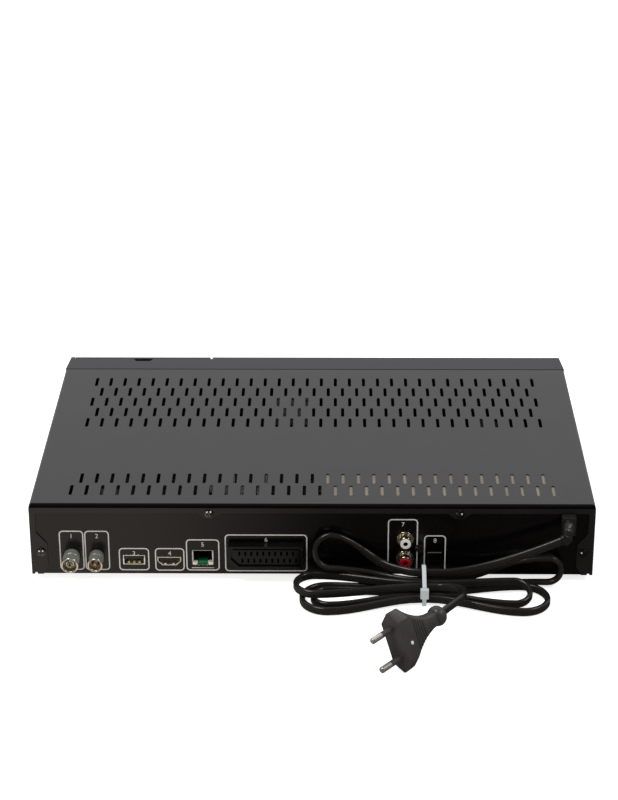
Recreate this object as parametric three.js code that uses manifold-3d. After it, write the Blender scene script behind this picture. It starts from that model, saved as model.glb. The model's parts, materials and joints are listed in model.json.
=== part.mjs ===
// Digital television receiver: a slim sheet-steel case with a moulded front, a row of rear
// sockets and a flat mains cord tied up in a hank behind it.
// Millimetres. +Z is up, the rear panel faces -Y and the front faces +Y, so +X is on the right
// for someone looking at the rear panel. The origin is at the bottom centre of the footprint.
import * as THREE from 'three';
import { mergeGeometries, mergeVertices } from 'three/addons/utils/BufferGeometryUtils.js';
import Module from 'manifold-3d';

const wasm = await Module();
wasm.setup();

// Driving dimensions of the case
const caseWidth = 360;
const caseDepth = 236;
const caseHeight = 49.5;
const footHeight = 4.5;
const steel = 0.8;
const plasticWall = 2.2;
const boardThickness = 1.6;
const bezelDepth = 21;
const seamGap = 1;
const halfWidth = caseWidth / 2;

// A side share runs from -1 at the left side of the case to 1 at the right side, and a depth
// share from 0 at the rear panel to 1 at the front.
const placed = (piece) => ({ ...piece, x: piece.sideShare * halfWidth, y: (piece.depthShare ?? 0) * caseDepth });
const spanned = (piece) => ({ ...piece, left: piece.leftShare * halfWidth, right: piece.rightShare * halfWidth });

// Clearances
const fit = 0.3;
const seat = 0.1;
const overrun = 2;

// Sockets on the rear panel. "up" is the height of the axis above the underside of the case.
const antennaIn = placed({
  sideShare: -0.8556, up: 12.4, radius: 5.35, bore: 4.7, reach: 13, contact: 1.9, contactHole: 0.9,
});
const antennaOut = placed({ sideShare: -0.7667, up: 12.4, radius: 4.75, bore: 4.1, reach: 12.4, contact: 1.2 });
const usb = placed({ sideShare: -0.6339, up: 9.9, width: 14.2, height: 6.9, depth: 17, shell: 0.6, tongue: 1.8 });
const hdmi = placed({ sideShare: -0.5083, up: 9, width: 15.4, height: 6.2, depth: 13, shell: 0.7, tongue: 1.4 });
const network = placed({
  sideShare: -0.3889, up: 11.4, width: 15.4, height: 12.8, depth: 21, rim: 1.7, keyWidth: 6.4, keyHeight: 2.4,
});
const scart = placed({
  sideShare: -0.1633, up: 14.8, width: 47.7, height: 15.7, reach: 6, depth: 15, bevel: 5.2, wall: 1.4,
});
const scartContacts = { columns: 10, pitch: 3.81, rowSpacing: 5.08, width: 1.3, height: 3, bed: 1.9 };
const phono = placed({
  sideShare: 0.3311, upperUp: 26, lowerUp: 12.2, flange: 5.45, barrel: 4.15, reach: 7.4, flangeReach: 2,
});
const phonoInsert = { radius: 3.4, hole: 1.55, proud: 0.9, depth: 8 };
const phonoBlock = { width: 12.6, height: 36, depth: 11, bore: 2.6 };
const optical = placed({ sideShare: 0.4356, up: 10.2, width: 9.7, height: 11.2, depth: 14, rim: 1.3 });
const shutter = { thickness: 0.8, setBack: 3.2 };

// Tray, cover and rear panel
const bendRadius = 1.8;
const trayFlange = 12;
const trayLip = 3.5;
const standoff = { radius: 3, height: 2.6 };
const panelLip = 9;
const rimTop = 5.4;
const rimSide = 4;
const topTab = { halfWidth: 7.4, tip: 3.4, drop: 3.8 };
const sideTab = { width: 10.7, top: 29.7, full: 22, low: 5.7, foot: 1.4, footWidth: 7.6 };
const cornerRelief = 1.6;
const panelCorner = 3;
const footNotch = { inset: 2, width: 1.6, height: 1.6 };
const coverScrews = { topShares: [-0.3628, 0.5217], topUp: 44, sideInset: 6.7, sideUp: 16 };
const topScrewX = coverScrews.topShares.map((share) => share * halfWidth);
const sideScrewX = [-1, 1].map((side) => side * (halfWidth - coverScrews.sideInset));
const vent = { length: 14.2, width: 2.2, pitchX: 10, pitchY: 17, endSteps: 3, margin: 25 };
const rearVents = { rows: 2, fromRear: 20.9 };
const frontVents = { rows: 5, fromFront: 112.6 };
const insulator = spanned({ leftShare: 0.0444, rightShare: 0.9333, rear: 6, front: 48, thickness: 0.4 });

// Screws: rear screws of the cover, the phono block's screw and the board screws
const screw = { head: 2.9, headHeight: 1.5, shank: 1.35, length: 6, slot: 0.7, slotDepth: 0.7 };

// Front
const bezelTaper = 1.8;
const flap = {
  inset: 5, rightShare: -0.4167, bottomUp: 4, thickness: 2.5, pin: 0.9, pinLength: 1.8, endGap: 1.2,
};
flap.left = flap.inset - halfWidth;
flap.right = flap.rightShare * halfWidth;
const bay = placed({ sideShare: -0.7, depth: 14, back: 2, slotWidth: 56 });
const moduleSlot = { up: 9.2, height: 5.6, length: 82, shell: 0.7 };
const cardSlot = { up: 15.4, height: 1.6, bodyHeight: 4.2, bodyLength: 52 };
const fingerNotch = placed({ sideShare: -0.695, near: 10.4, far: 14.6, depth: 4.6 });
const bezelTab = { sideShares: [-0.6667, 0, 0.6667], width: 12, reach: 8, thickness: 2 };
const bezelTabX = bezelTab.sideShares.map((share) => share * halfWidth);
const bezelTongue = { reach: 4.5, thickness: 1.2, corner: 5 };
const windowPane = spanned({ leftShare: -0.2556, rightShare: 0.4111, bottomUp: 14, topUp: 38, rebate: 1.2, lip: 1.5 });
const display = { width: 62, height: 20, depth: 6.5 };
const standby = placed({ sideShare: 0.8222, up: 26, radius: 6 });
const channelKey = placed({ sideShare: 0.5889, spacing: 18, up: 26, width: 13, height: 7 });
const channelKeyX = [channelKey.x, channelKey.x + channelKey.spacing];
const key = { proud: 0.8, travel: 0.7, flange: 1.2, flangeThickness: 1.2 };
const keySwitch = { size: 6, height: 3.6, cap: 1.6, capHeight: 0.9 };
const frontBoard = spanned({ leftShare: -0.3778, rightShare: 0.9444, bottomUp: 8.5, topUp: 44 });
const post = { radius: 3.2, sideShares: [-0.3333, 0.5, 0.9167], up: 12.5 };

// Inside
const mainBoard = spanned({ leftShare: -0.9556, rightShare: 0.5111, rear: 3, frontInset: 26 });
const psuBoard = spanned({ leftShare: 0.5444, rightShare: 0.9611, rear: 8, frontInset: 38 });
const psuFront = caseDepth - psuBoard.frontInset;
const tunerCan = spanned({ leftShare: -0.905, rightShare: -0.7111, depth: 58, height: 22 });
const decoder = placed({ sideShare: -0.2778, depthShare: 0.39, size: 27, height: 2.4 });
const heatSink = { size: 38, base: 2.5, height: 14, fins: 6, fin: 1.4 };
const transformer = placed({ sideShare: 0.7667, depthShare: 0.407, width: 34, depth: 30, height: 27, waist: 3 });
const capacitor = placed({ sideShare: 0.6667, depthShare: 0.636, radius: 9, height: 31, groove: 0.8 });
const lineFilter = placed({ sideShare: 0.8333, depthShare: 0.186, width: 18, depth: 24, height: 17 });
const psuSink = placed({
  sideShare: 0.5778, depthShare: 0.373, length: 46, thickness: 2.4, height: 28, fins: 4, finReach: 6, finThickness: 1.6,
});
const ribbon = { leftShare: -0.1667, width: 26, thickness: 0.8, landing: 12, rise: 16, header: 6 };
const ribbonLeft = ribbon.leftShare * halfWidth;
const powerLead = { beyondSink: 9, width: 10, thickness: 1.8, reach: 9, rise: 7, header: 6 };
powerLead.y = psuSink.y + psuSink.length / 2 + powerLead.beyondSink;
const foot = { radius: 9, waist: 7.6, chamfer: 0.8, insetX: 32, insetY: 34 };

// Cord, tie and plug. "out" is the distance behind the rear panel.
const cord = { width: 5.6, thickness: 3.5 };
const strandGap = 0.45;
const tie = placed({
  sideShare: 0.3944, out: 25, width: 2.6, strap: 1.1, head: 6.2, headWidth: 5.2, headReach: 4.2,
});
const relief = placed({
  sideShare: 0.9044, up: 37.9, width: 8.8, height: 12.2, block: 7, groove: 0.6, tipRadius: 3.6, rib: 0.7, ribs: 5,
});
const boot = { aside: 4.8, reach: 7, down: 5.9 };
const plug = {
  besideTie: 20, out: 109, length: 37, halfWidth: 18.5, halfThickness: 6.9, endHalf: 1.9, collar: 6.3, collarLength: 9,
};
const plugLean = Math.PI / 8;
const plugX = tie.x - plug.besideTie;
const plugPin = { radius: 2, length: 19, sleeve: 10, spread: 18.6, core: 1.25, depth: 3, tip: 0.8 };

// Frame of the case, worked out from the sizes above
const floorZ = footHeight;
const topZ = footHeight + caseHeight;
const frontY = (caseDepth + antennaIn.reach - key.proud) / 2;
const rearY = frontY - caseDepth;
const coverFrontY = frontY - bezelDepth - seamGap;
const boardTopZ = floorZ + steel + standoff.height + boardThickness;
const panelInnerY = rearY + steel;

// Finishes: colour, roughness and metalness of each material
const finishes = {
  coverPaint: { color: 0x343133, roughness: 0.42, metalness: 0.3 },
  panelPaint: { color: 0x1d1917, roughness: 0.22, metalness: 0.2 },
  zinc: { color: 0xa9aaa6, roughness: 0.4, metalness: 0.9 },
  moulding: { color: 0x4a474a, roughness: 0.5, metalness: 0 },
  smoke: { color: 0x140f14, roughness: 0.08, metalness: 0 },
  blackPlastic: { color: 0x161514, roughness: 0.45, metalness: 0 },
  nickel: { color: 0xc9c3b2, roughness: 0.22, metalness: 1 },
  whitePlastic: { color: 0xeceae4, roughness: 0.4, metalness: 0 },
  redPlastic: { color: 0xb3121c, roughness: 0.4, metalness: 0 },
  greenBoard: { color: 0x1d5a35, roughness: 0.5, metalness: 0 },
  aluminium: { color: 0xb9bbbd, roughness: 0.35, metalness: 1 },
  paperSheet: { color: 0xa79a86, roughness: 0.8, metalness: 0 },
  yellowTape: { color: 0xc8a63a, roughness: 0.5, metalness: 0 },
  sleeve: { color: 0x2c2440, roughness: 0.35, metalness: 0 },
  ribbonGrey: { color: 0x9b9c9e, roughness: 0.5, metalness: 0 },
  rubber: { color: 0x1a1a1a, roughness: 0.8, metalness: 0 },
  cordPlastic: { color: 0x1b1a19, roughness: 0.4, metalness: 0 },
  tieNylon: { color: 0xe6e9ea, roughness: 0.35, metalness: 0 },
  screwSteel: { color: 0x2b2a29, roughness: 0.3, metalness: 0.9 },
};

const receiver = new THREE.Group();

function addPart(name, geometry, finish) {
  const mesh = new THREE.Mesh(geometry, new THREE.MeshStandardMaterial(finishes[finish]));
  mesh.name = name;
  receiver.add(mesh);
}

// Solids: joining and cutting closed meshes
function solidOf(geometry) {
  const bare = geometry.clone();
  bare.deleteAttribute('normal');
  bare.deleteAttribute('uv');
  const merged = mergeVertices(bare);
  const corners = merged.index.array;
  const kept = [];
  for (let i = 0; i < corners.length; i += 3) {
    const [a, b, c] = [corners[i], corners[i + 1], corners[i + 2]];
    if (a !== b && b !== c && c !== a) kept.push(a, b, c);
  }
  const vertProperties = merged.attributes.position.array;
  return new wasm.Manifold(new wasm.Mesh({ numProp: 3, vertProperties, triVerts: new Uint32Array(kept) }));
}

function geometryOf(solid) {
  const mesh = solid.getMesh();
  const geometry = new THREE.BufferGeometry();
  geometry.setAttribute('position', new THREE.BufferAttribute(new Float32Array(mesh.vertProperties), 3));
  geometry.setIndex(new THREE.BufferAttribute(new Uint32Array(mesh.triVerts), 1));
  geometry.computeVertexNormals();
  return geometry;
}

function joined(...pieces) {
  return geometryOf(pieces.map(solidOf).reduce((whole, piece) => whole.add(piece)));
}

function cutFrom(base, ...tools) {
  return geometryOf(tools.map(solidOf).reduce((whole, tool) => whole.subtract(tool), solidOf(base)));
}

// Blocks and prisms
function block(x0, x1, y0, y1, z0, z1) {
  const geometry = new THREE.BoxGeometry(x1 - x0, y1 - y0, z1 - z0);
  return geometry.translate((x0 + x1) / 2, (y0 + y1) / 2, (z0 + z1) / 2);
}

function prism(points, holes, depth) {
  const shape = new THREE.Shape(points);
  shape.holes = holes.map((hole) => new THREE.Path(hole));
  return new THREE.ExtrudeGeometry(shape, { depth, bevelEnabled: false, steps: 1 });
}

// An outline in X and Z, from one Y to another
function alongY(points, y0, y1, holes = []) {
  const turn = new THREE.Matrix4().makeBasis(
    new THREE.Vector3(1, 0, 0), new THREE.Vector3(0, 0, 1), new THREE.Vector3(0, -1, 0));
  return prism(points, holes, y1 - y0).applyMatrix4(turn).translate(0, y1, 0);
}

// An outline in Y and Z, from one X to another
function alongX(points, x0, x1, holes = []) {
  const turn = new THREE.Matrix4().makeBasis(
    new THREE.Vector3(0, 1, 0), new THREE.Vector3(0, 0, 1), new THREE.Vector3(1, 0, 0));
  return prism(points, holes, x1 - x0).applyMatrix4(turn).translate(x0, 0, 0);
}

function alongZ(points, z0, z1, holes = []) {
  return prism(points, holes, z1 - z0).translate(0, 0, z0);
}

// Revolved pieces. Profile points are [radius, place along the axis].
function turned(profile, segments) {
  return new THREE.LatheGeometry(profile.map(([r, along]) => new THREE.Vector2(r, along)), segments);
}

function turnedY(profile, x, z, segments) {
  return turned(profile, segments).translate(x, 0, z);
}

function turnedZ(profile, x, y, segments) {
  return turned(profile, segments).rotateX(Math.PI / 2).translate(x, y, 0);
}

// Outlines
const point = (a, b) => new THREE.Vector2(a, b);

function arc(cx, cy, radius, from, to, steps) {
  const points = [];
  for (let i = 0; i <= steps; i += 1) {
    const angle = from + (to - from) * (i / steps);
    points.push(point(cx + radius * Math.cos(angle), cy + radius * Math.sin(angle)));
  }
  return points;
}

function rectangle(x0, x1, z0, z1) {
  return [point(x0, z0), point(x1, z0), point(x1, z1), point(x0, z1)];
}

function roundedRectangle(x0, x1, z0, z1, radius, steps = 3) {
  const quarter = Math.PI / 2;
  return [
    ...arc(x1 - radius, z0 + radius, radius, -quarter, 0, steps),
    ...arc(x1 - radius, z1 - radius, radius, 0, quarter, steps),
    ...arc(x0 + radius, z1 - radius, radius, quarter, 2 * quarter, steps),
    ...arc(x0 + radius, z0 + radius, radius, 2 * quarter, 3 * quarter, steps),
  ];
}

function ring(cx, cz, radius, sides) {
  return arc(cx, cz, radius, 0, Math.PI * 2, sides).slice(0, sides);
}

// A pan-head screw whose head rests at zero and whose shank runs down from it
function screwAt(length) {
  const head = [
    [0, -length], [screw.shank, -length], [screw.shank, 0], [screw.head, 0],
    [screw.head, screw.headHeight / 2], [screw.head / 2, screw.headHeight], [0, screw.headHeight],
  ];
  const body = turned(head, 12).rotateX(Math.PI / 2);
  const reach = screw.head / 2 + screw.slot;
  const low = screw.headHeight - screw.slotDepth;
  const high = screw.headHeight + overrun;
  const bar = block(-reach, reach, -screw.slot / 2, screw.slot / 2, low, high);
  const cross = block(-screw.slot / 2, screw.slot / 2, -reach, reach, low, high);
  return cutFrom(body, joined(bar, cross));
}

function rearScrew(x, up, headY) {
  return screwAt(screw.length).rotateX(Math.PI / 2).translate(x, headY, floorZ + up);
}

// The tray: floor, side flanges, front lip and the standoffs under the boards
const trayHalf = halfWidth - steel - fit;
const mainScrews = [
  [mainBoard.left, mainBoard.rear, 1, 1], [mainBoard.right, mainBoard.rear, -1, 1],
  [mainBoard.left, caseDepth - mainBoard.frontInset, 1, -1],
  [mainBoard.right, caseDepth - mainBoard.frontInset, -1, -1],
].map(([x, in_, sx, sy]) => ({ x: x + sx * (standoff.radius + steel), y: rearY + in_ + sy * 6 * standoff.radius }));
const psuStandoffs = [[psuBoard.left, psuBoard.rear], [psuBoard.right, psuBoard.rear],
  [psuBoard.left, psuFront], [psuBoard.right, psuFront],
].map(([x, in_]) => ({
  x: x + Math.sign((psuBoard.left + psuBoard.right) / 2 - x) * (standoff.radius + steel),
  y: rearY + in_ + Math.sign((psuBoard.rear + psuFront) / 2 - in_) * 2 * standoff.radius,
}));

function chassisTray() {
  const floorTop = floorZ + steel;
  const above = floorZ + trayFlange + overrun;
  const inner = trayHalf - steel;
  const sheet = block(-trayHalf, trayHalf, panelInnerY + seat, coverFrontY, floorZ, floorZ + trayFlange);
  const hollow = block(-inner, inner, rearY - overrun, coverFrontY - steel, floorTop, above);
  const rearEnd = block(-halfWidth, halfWidth, rearY - overrun, rearY + panelLip, floorTop, above);
  const aboveLip = block(-inner, inner, rearY, coverFrontY + overrun, floorZ + trayLip, above);
  const bosses = [...mainScrews, ...psuStandoffs].map(({ x, y }) => alongZ(
    ring(x, y, standoff.radius, 12), floorZ + steel / 2, floorTop + standoff.height));
  const bores = mainScrews.map(({ x, y }) => alongZ(
    ring(x, y, screw.shank + fit, 10), floorZ - overrun, boardTopZ));
  const tabGaps = bezelTabX.map((x) => block(x - bezelTab.width / 2 - fit, x + bezelTab.width / 2 + fit,
    coverFrontY - steel - overrun, coverFrontY + overrun, floorTop + seat / 2, above));
  return cutFrom(joined(cutFrom(sheet, hollow, rearEnd, aboveLip, ...tabGaps), ...bosses), ...bores);
}

// The printed rear panel with its socket openings, folded forward along the bottom
const panelHalf = halfWidth - steel - fit;
const panelTop = topZ - bendRadius - fit;

function scartOutline(grow) {
  const left = scart.x - scart.width / 2 - grow;
  const right = scart.x + scart.width / 2 + grow;
  const low = floorZ + scart.up - scart.height / 2 - grow;
  const high = floorZ + scart.up + scart.height / 2 + grow;
  return [point(left + scart.bevel, low), point(right, low), point(right, high), point(left, high),
    point(left, low + scart.bevel)];
}

function hdmiOutline(grow) {
  const half = hdmi.width / 2 + grow;
  const low = floorZ + hdmi.up - hdmi.height / 2 - grow;
  const high = floorZ + hdmi.up + hdmi.height / 2 + grow;
  const shoulder = floorZ + hdmi.up;
  const foot_ = half - hdmi.height / 2;
  return [point(hdmi.x - foot_, low), point(hdmi.x + foot_, low), point(hdmi.x + half, shoulder),
    point(hdmi.x + half, high), point(hdmi.x - half, high), point(hdmi.x - half, shoulder)];
}

function boxOutline(socket, grow) {
  const z = floorZ + socket.up;
  return rectangle(socket.x - socket.width / 2 - grow, socket.x + socket.width / 2 + grow,
    z - socket.height / 2 - grow, z + socket.height / 2 + grow);
}

function rearPanel() {
  const notchLeft = relief.x - relief.width / 2 + relief.groove;
  const notchRight = relief.x + relief.width / 2 - relief.groove;
  const notchLow = floorZ + relief.up - relief.height / 2 + relief.groove;
  const outline = [
    point(panelCorner - panelHalf, floorZ), point(panelHalf - panelCorner, floorZ),
    point(panelHalf, floorZ + panelCorner), point(panelHalf, panelTop),
    point(notchRight, panelTop), point(notchRight, notchLow), point(notchLeft, notchLow),
    point(notchLeft, panelTop), point(-panelHalf, panelTop), point(-panelHalf, floorZ + panelCorner),
  ];
  const phonoHeights = [phono.upperUp, phono.lowerUp];
  const screwHoles = [
    ...topScrewX.map((x) => ring(x, floorZ + coverScrews.topUp, screw.shank + fit, 10)),
    ...sideScrewX.map((x) => ring(x, floorZ + coverScrews.sideUp, screw.shank + fit, 10)),
    ring(phonoScrewX, floorZ + phonoScrewUp, screw.shank + fit, 10),
  ];
  const holes = [
    ring(antennaIn.x, floorZ + antennaIn.up, antennaIn.radius + fit, 20),
    ring(antennaOut.x, floorZ + antennaOut.up, antennaOut.radius + fit, 20),
    boxOutline(usb, fit), hdmiOutline(fit), boxOutline(network, -network.rim / 2), scartOutline(fit),
    ...phonoHeights.map((up) => ring(phono.x, floorZ + up, phono.barrel + fit, 16)),
    boxOutline(optical, fit), ...screwHoles,
  ];
  const plate = alongY(outline, rearY, panelInnerY, holes);
  const lipLow = floorZ + steel + seat;
  const lip = block(-panelHalf + panelLip, panelHalf - panelLip, rearY + steel / 2, rearY + panelLip,
    lipLow, lipLow + steel);
  return joined(plate, lip);
}

// The cover: a bent sheet over the top and sides, with a rim folded over the rear panel
const phonoScrewX = phono.x + phonoBlock.width / 2 + screw.head;
const phonoScrewUp = (phono.upperUp + phono.lowerUp) / 2;

function coverSection() {
  const quarter = Math.PI / 2;
  const outer = [
    point(halfWidth, floorZ),
    ...arc(halfWidth - bendRadius, topZ - bendRadius, bendRadius, 0, quarter, 3),
    ...arc(-halfWidth + bendRadius, topZ - bendRadius, bendRadius, quarter, 2 * quarter, 3),
    point(-halfWidth, floorZ),
  ];
  const innerRadius = bendRadius - steel;
  const inner = [
    point(-halfWidth + steel, floorZ),
    ...arc(-halfWidth + bendRadius, topZ - bendRadius, innerRadius, 2 * quarter, quarter, 3),
    ...arc(halfWidth - bendRadius, topZ - bendRadius, innerRadius, quarter, 0, 3),
    point(halfWidth - steel, floorZ),
  ];
  return [...outer, ...inner];
}

// The rim's inner edge dips round the two top screws and widens round the two side screws
function rimOutline() {
  const quarter = Math.PI / 2;
  const edge = topZ - rimTop;
  const dips = [...topScrewX].sort((a, b) => b - a).flatMap((x) => [
    point(x + topTab.halfWidth, edge), point(x + topTab.tip, edge - topTab.drop * 0.82),
    point(x + topTab.tip / 2, edge - topTab.drop), point(x - topTab.tip / 2, edge - topTab.drop),
    point(x - topTab.tip, edge - topTab.drop * 0.82), point(x - topTab.halfWidth, edge),
  ]);
  const sideSteps = (side) => [
    point(side * (halfWidth - rimSide), floorZ + sideTab.top),
    point(side * (halfWidth - sideTab.width), floorZ + sideTab.full),
    point(side * (halfWidth - sideTab.width), floorZ + sideTab.low),
    point(side * (halfWidth - sideTab.footWidth), floorZ + sideTab.foot),
    point(side * (halfWidth - sideTab.footWidth), floorZ),
    point(side * (halfWidth - footNotch.inset - footNotch.width), floorZ),
    point(side * (halfWidth - footNotch.inset - footNotch.width), floorZ + footNotch.height),
    point(side * (halfWidth - footNotch.inset), floorZ + footNotch.height),
    point(side * (halfWidth - footNotch.inset), floorZ),
  ];
  const notch = (side) => [
    point(side * (halfWidth - rimSide), edge - cornerRelief),
    point(side * (halfWidth - rimSide), edge),
    point(side * (halfWidth - rimSide - cornerRelief), edge),
  ];
  return [
    point(halfWidth, floorZ),
    ...arc(halfWidth - bendRadius, topZ - bendRadius, bendRadius, 0, quarter, 3),
    ...arc(-halfWidth + bendRadius, topZ - bendRadius, bendRadius, quarter, 2 * quarter, 3),
    point(-halfWidth, floorZ), ...sideSteps(-1).reverse(), ...notch(-1),
    ...dips.reverse(), ...notch(1).reverse(), ...sideSteps(1),
  ];
}

function ventSlots() {
  const radius = vent.width / 2;
  const half = vent.length / 2 - radius;
  const slot = (x, y) => alongZ([
    ...arc(x, y + half, radius, 0, Math.PI, vent.endSteps),
    ...arc(x, y - half, radius, Math.PI, 2 * Math.PI, vent.endSteps),
  ], topZ - steel - overrun, topZ + overrun);
  const slots = [];
  const mostSlots = Math.floor((caseWidth - 2 * vent.margin) / vent.pitchX) + 1;
  const groups = [
    { rows: rearVents.rows, first: rearY + rearVents.fromRear },
    { rows: frontVents.rows, first: frontY - frontVents.fromFront },
  ];
  for (const { rows, first } of groups) {
    for (let row = 0; row < rows; row += 1) {
      const count = mostSlots - (row % 2);
      const y = first + row * vent.pitchY;
      for (let i = 0; i < count; i += 1) slots.push(slot((i - (count - 1) / 2) * vent.pitchX, y));
    }
  }
  return mergeGeometries(slots);
}

const rimY = rearY - seat - steel;

// The bend between the top and the rim: metal added inside its corner, and cut off outside it
function rearBendInside() {
  const quarter = Math.PI / 2;
  return alongX([
    point(rimY + steel / 2, topZ - steel / 2), point(rimY + steel / 2, topZ - bendRadius),
    ...arc(rimY + bendRadius, topZ - bendRadius, bendRadius - steel, 2 * quarter, quarter, 3),
    point(rimY + bendRadius, topZ - steel / 2),
  ], bendRadius - halfWidth, halfWidth - bendRadius);
}

function rearBendOutside() {
  const quarter = Math.PI / 2;
  return alongX([
    point(rimY - overrun, topZ + overrun), point(rimY - overrun, topZ - bendRadius),
    ...arc(rimY + bendRadius, topZ - bendRadius, bendRadius, 2 * quarter, quarter, 4),
    point(rimY + bendRadius, topZ + overrun),
  ], -halfWidth - overrun, halfWidth + overrun);
}

function topCover() {
  const shell = alongY(coverSection(), rimY, coverFrontY);
  const rim = alongY(rimOutline(), rimY, rimY + steel);
  const holes = [
    ...topScrewX.map((x) => [x, coverScrews.topUp]),
    ...sideScrewX.map((x) => [x, coverScrews.sideUp]),
  ].map(([x, up]) => alongY(ring(x, floorZ + up, screw.shank + fit, 10), rimY - overrun, rimY + overrun));
  const reliefNotch = block(relief.x - relief.width / 2 - fit, relief.x + relief.width / 2 + fit,
    rimY - overrun, rearY, floorZ + relief.up - relief.height, floorZ + relief.up + relief.height / 2 + fit);
  return cutFrom(joined(shell, rim, rearBendInside()), rearBendOutside(), ventSlots(), ...holes, reliefNotch);
}

function ventInsulator() {
  const sheetTop = topZ - steel - seat;
  return block(insulator.left, insulator.right, rearY + insulator.rear, rearY + insulator.front,
    sheetTop - insulator.thickness, sheetTop);
}

// The moulded front: an open-backed shell with the flap's bay, the window and the key holes
const bezelBackY = frontY - bezelDepth;
const boardFaceY = frontY - plasticWall - display.depth - seat;
const bayBackY = frontY - bay.depth;
const flapBottomZ = floorZ + flap.bottomUp;
const flapAxisY = frontY - flap.thickness / 2;
const flapAxisZ = flapBottomZ + flap.thickness / 2;

function bezelPlan(shrink) {
  const back = halfWidth - shrink;
  const front = halfWidth - bezelTaper - shrink;
  return [point(-back, bezelBackY), point(back, bezelBackY), point(front, frontY), point(-front, frontY)];
}

function bezelShell() {
  const outer = alongZ(bezelPlan(0), floorZ, topZ);
  const back = halfWidth - plasticWall;
  const front = halfWidth - bezelTaper - plasticWall;
  const hollow = alongZ([point(-back, bezelBackY - overrun), point(back, bezelBackY - overrun),
    point(front, frontY - plasticWall), point(-front, frontY - plasticWall)],
  floorZ + plasticWall, topZ - plasticWall);
  return cutFrom(outer, hollow);
}

// Tabs that hook over the tray's floor, and a tongue that slips under the cover's edge
function bezelHooks() {
  const low = floorZ + steel + seat;
  const inside = bezelBackY + plasticWall;
  const tabs = bezelTabX.map((x) => block(x - bezelTab.width / 2, x + bezelTab.width / 2,
    bezelBackY - bezelTab.reach, inside, low, low + bezelTab.thickness));
  const reachY = bezelBackY - bezelTongue.reach;
  const under = steel + fit;
  const top = block(-halfWidth + bezelTongue.corner, halfWidth - bezelTongue.corner, reachY, inside,
    topZ - under - bezelTongue.thickness, topZ - under);
  const sides = [-1, 1].map((side) => {
    const outer = side * (halfWidth - under);
    const inner = side * (halfWidth - under - bezelTongue.thickness);
    return block(Math.min(inner, outer), Math.max(inner, outer), reachY, inside,
      floorZ + trayFlange + steel, topZ - bezelTongue.corner);
  });
  return [...tabs, top, ...sides];
}

function frontBezel() {
  const bayRight = flap.right + fit;
  const partition = block(bayRight, bayRight + plasticWall, bayBackY - bay.back, frontY - seat,
    floorZ + seat, topZ - seat);
  const bayBack = block(-halfWidth + bezelTaper + plasticWall / 2, bayRight + plasticWall / 2,
    bayBackY - bay.back, bayBackY, floorZ + seat, topZ - seat);
  const posts = post.sideShares.map((share) => alongY(
    ring(share * halfWidth, floorZ + post.up, post.radius, 12), boardFaceY, frontY - seat));
  const body = joined(bezelShell(), partition, bayBack, ...posts, ...bezelHooks());

  const cutLeft = flap.left - fit;
  const mouth = block(cutLeft, bayRight, frontY - flap.thickness - fit, frontY + overrun,
    flapBottomZ - fit, topZ + overrun);
  const clear = block(cutLeft, bayRight, bayBackY, frontY, flapBottomZ - fit, topZ - plasticWall);
  const notch = alongZ([
    point(fingerNotch.x - fingerNotch.far / 2, frontY),
    point(fingerNotch.x - fingerNotch.far / 2, frontY - flap.thickness),
    point(fingerNotch.x - fingerNotch.near / 2, frontY - fingerNotch.depth - flap.thickness),
    point(fingerNotch.x + fingerNotch.near / 2, frontY - fingerNotch.depth - flap.thickness),
    point(fingerNotch.x + fingerNotch.far / 2, frontY - flap.thickness),
    point(fingerNotch.x + fingerNotch.far / 2, frontY),
  ], topZ - plasticWall - overrun, topZ + overrun);
  const pinHole = alongX(ring(flapAxisY, flapAxisZ, flap.pin + seat, 16),
    cutLeft - flap.pinLength, bayRight + flap.pinLength);
  const slotMouth = (slot) => {
    const half = bay.slotWidth / 2 + fit;
    const z = floorZ + slot.up;
    return block(bay.x - half, bay.x + half, bayBackY - bay.back - overrun,
      bayBackY + overrun, z - slot.height / 2 - fit, z + slot.height / 2 + fit);
  };
  const pane = windowPane;
  const viewHole = block(pane.left + pane.lip, pane.right - pane.lip, frontY - plasticWall - overrun,
    frontY + overrun, floorZ + pane.bottomUp + pane.lip, floorZ + pane.topUp - pane.lip);
  const rebate = block(pane.left, pane.right, frontY - pane.rebate, frontY + overrun,
    floorZ + pane.bottomUp, floorZ + pane.topUp);
  const standbyHole = alongY(ring(standby.x, floorZ + standby.up, standby.radius + fit, 20),
    frontY - plasticWall - overrun, frontY + overrun);
  const keyHoles = channelKeyX.map((x) => alongY(
    roundedRectangle(x - channelKey.width / 2 - fit, x + channelKey.width / 2 + fit,
      floorZ + channelKey.up - channelKey.height / 2 - fit,
      floorZ + channelKey.up + channelKey.height / 2 + fit, channelKey.height / 4),
    frontY - plasticWall - overrun, frontY + overrun));
  return cutFrom(body, mouth, clear, notch, pinHole, slotMouth(moduleSlot), slotMouth(cardSlot),
    viewHole, rebate, standbyHole, ...keyHoles);
}

function displayWindow() {
  const pane = windowPane;
  const seatY = frontY - pane.rebate + seat;
  return alongY(rectangle(pane.left + fit, pane.right - fit, floorZ + pane.bottomUp + fit,
    floorZ + pane.topUp - fit), seatY, frontY);
}

// The flap folds down about pins at its bottom edge
function frontFlap() {
  const half = flap.thickness / 2;
  const section = [
    ...arc(flapAxisY, flapAxisZ, half, Math.PI, 2 * Math.PI, 6),
    point(frontY, topZ), point(frontY - flap.thickness, topZ),
  ];
  const leaf = alongX(section, flap.left, flap.right - flap.endGap);
  const pin = alongX(ring(flapAxisY, flapAxisZ, flap.pin, 10),
    flap.left - fit - flap.pinLength + fit, flap.right + flap.pinLength - fit);
  return joined(leaf, pin);
}

function keyCap(outline, flangeOutline) {
  const wallBack = frontY - plasticWall - fit;
  const face = alongY(outline, wallBack - key.flangeThickness, frontY + key.proud);
  const flange = alongY(flangeOutline, wallBack - key.flangeThickness, wallBack);
  return joined(face, flange);
}

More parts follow.
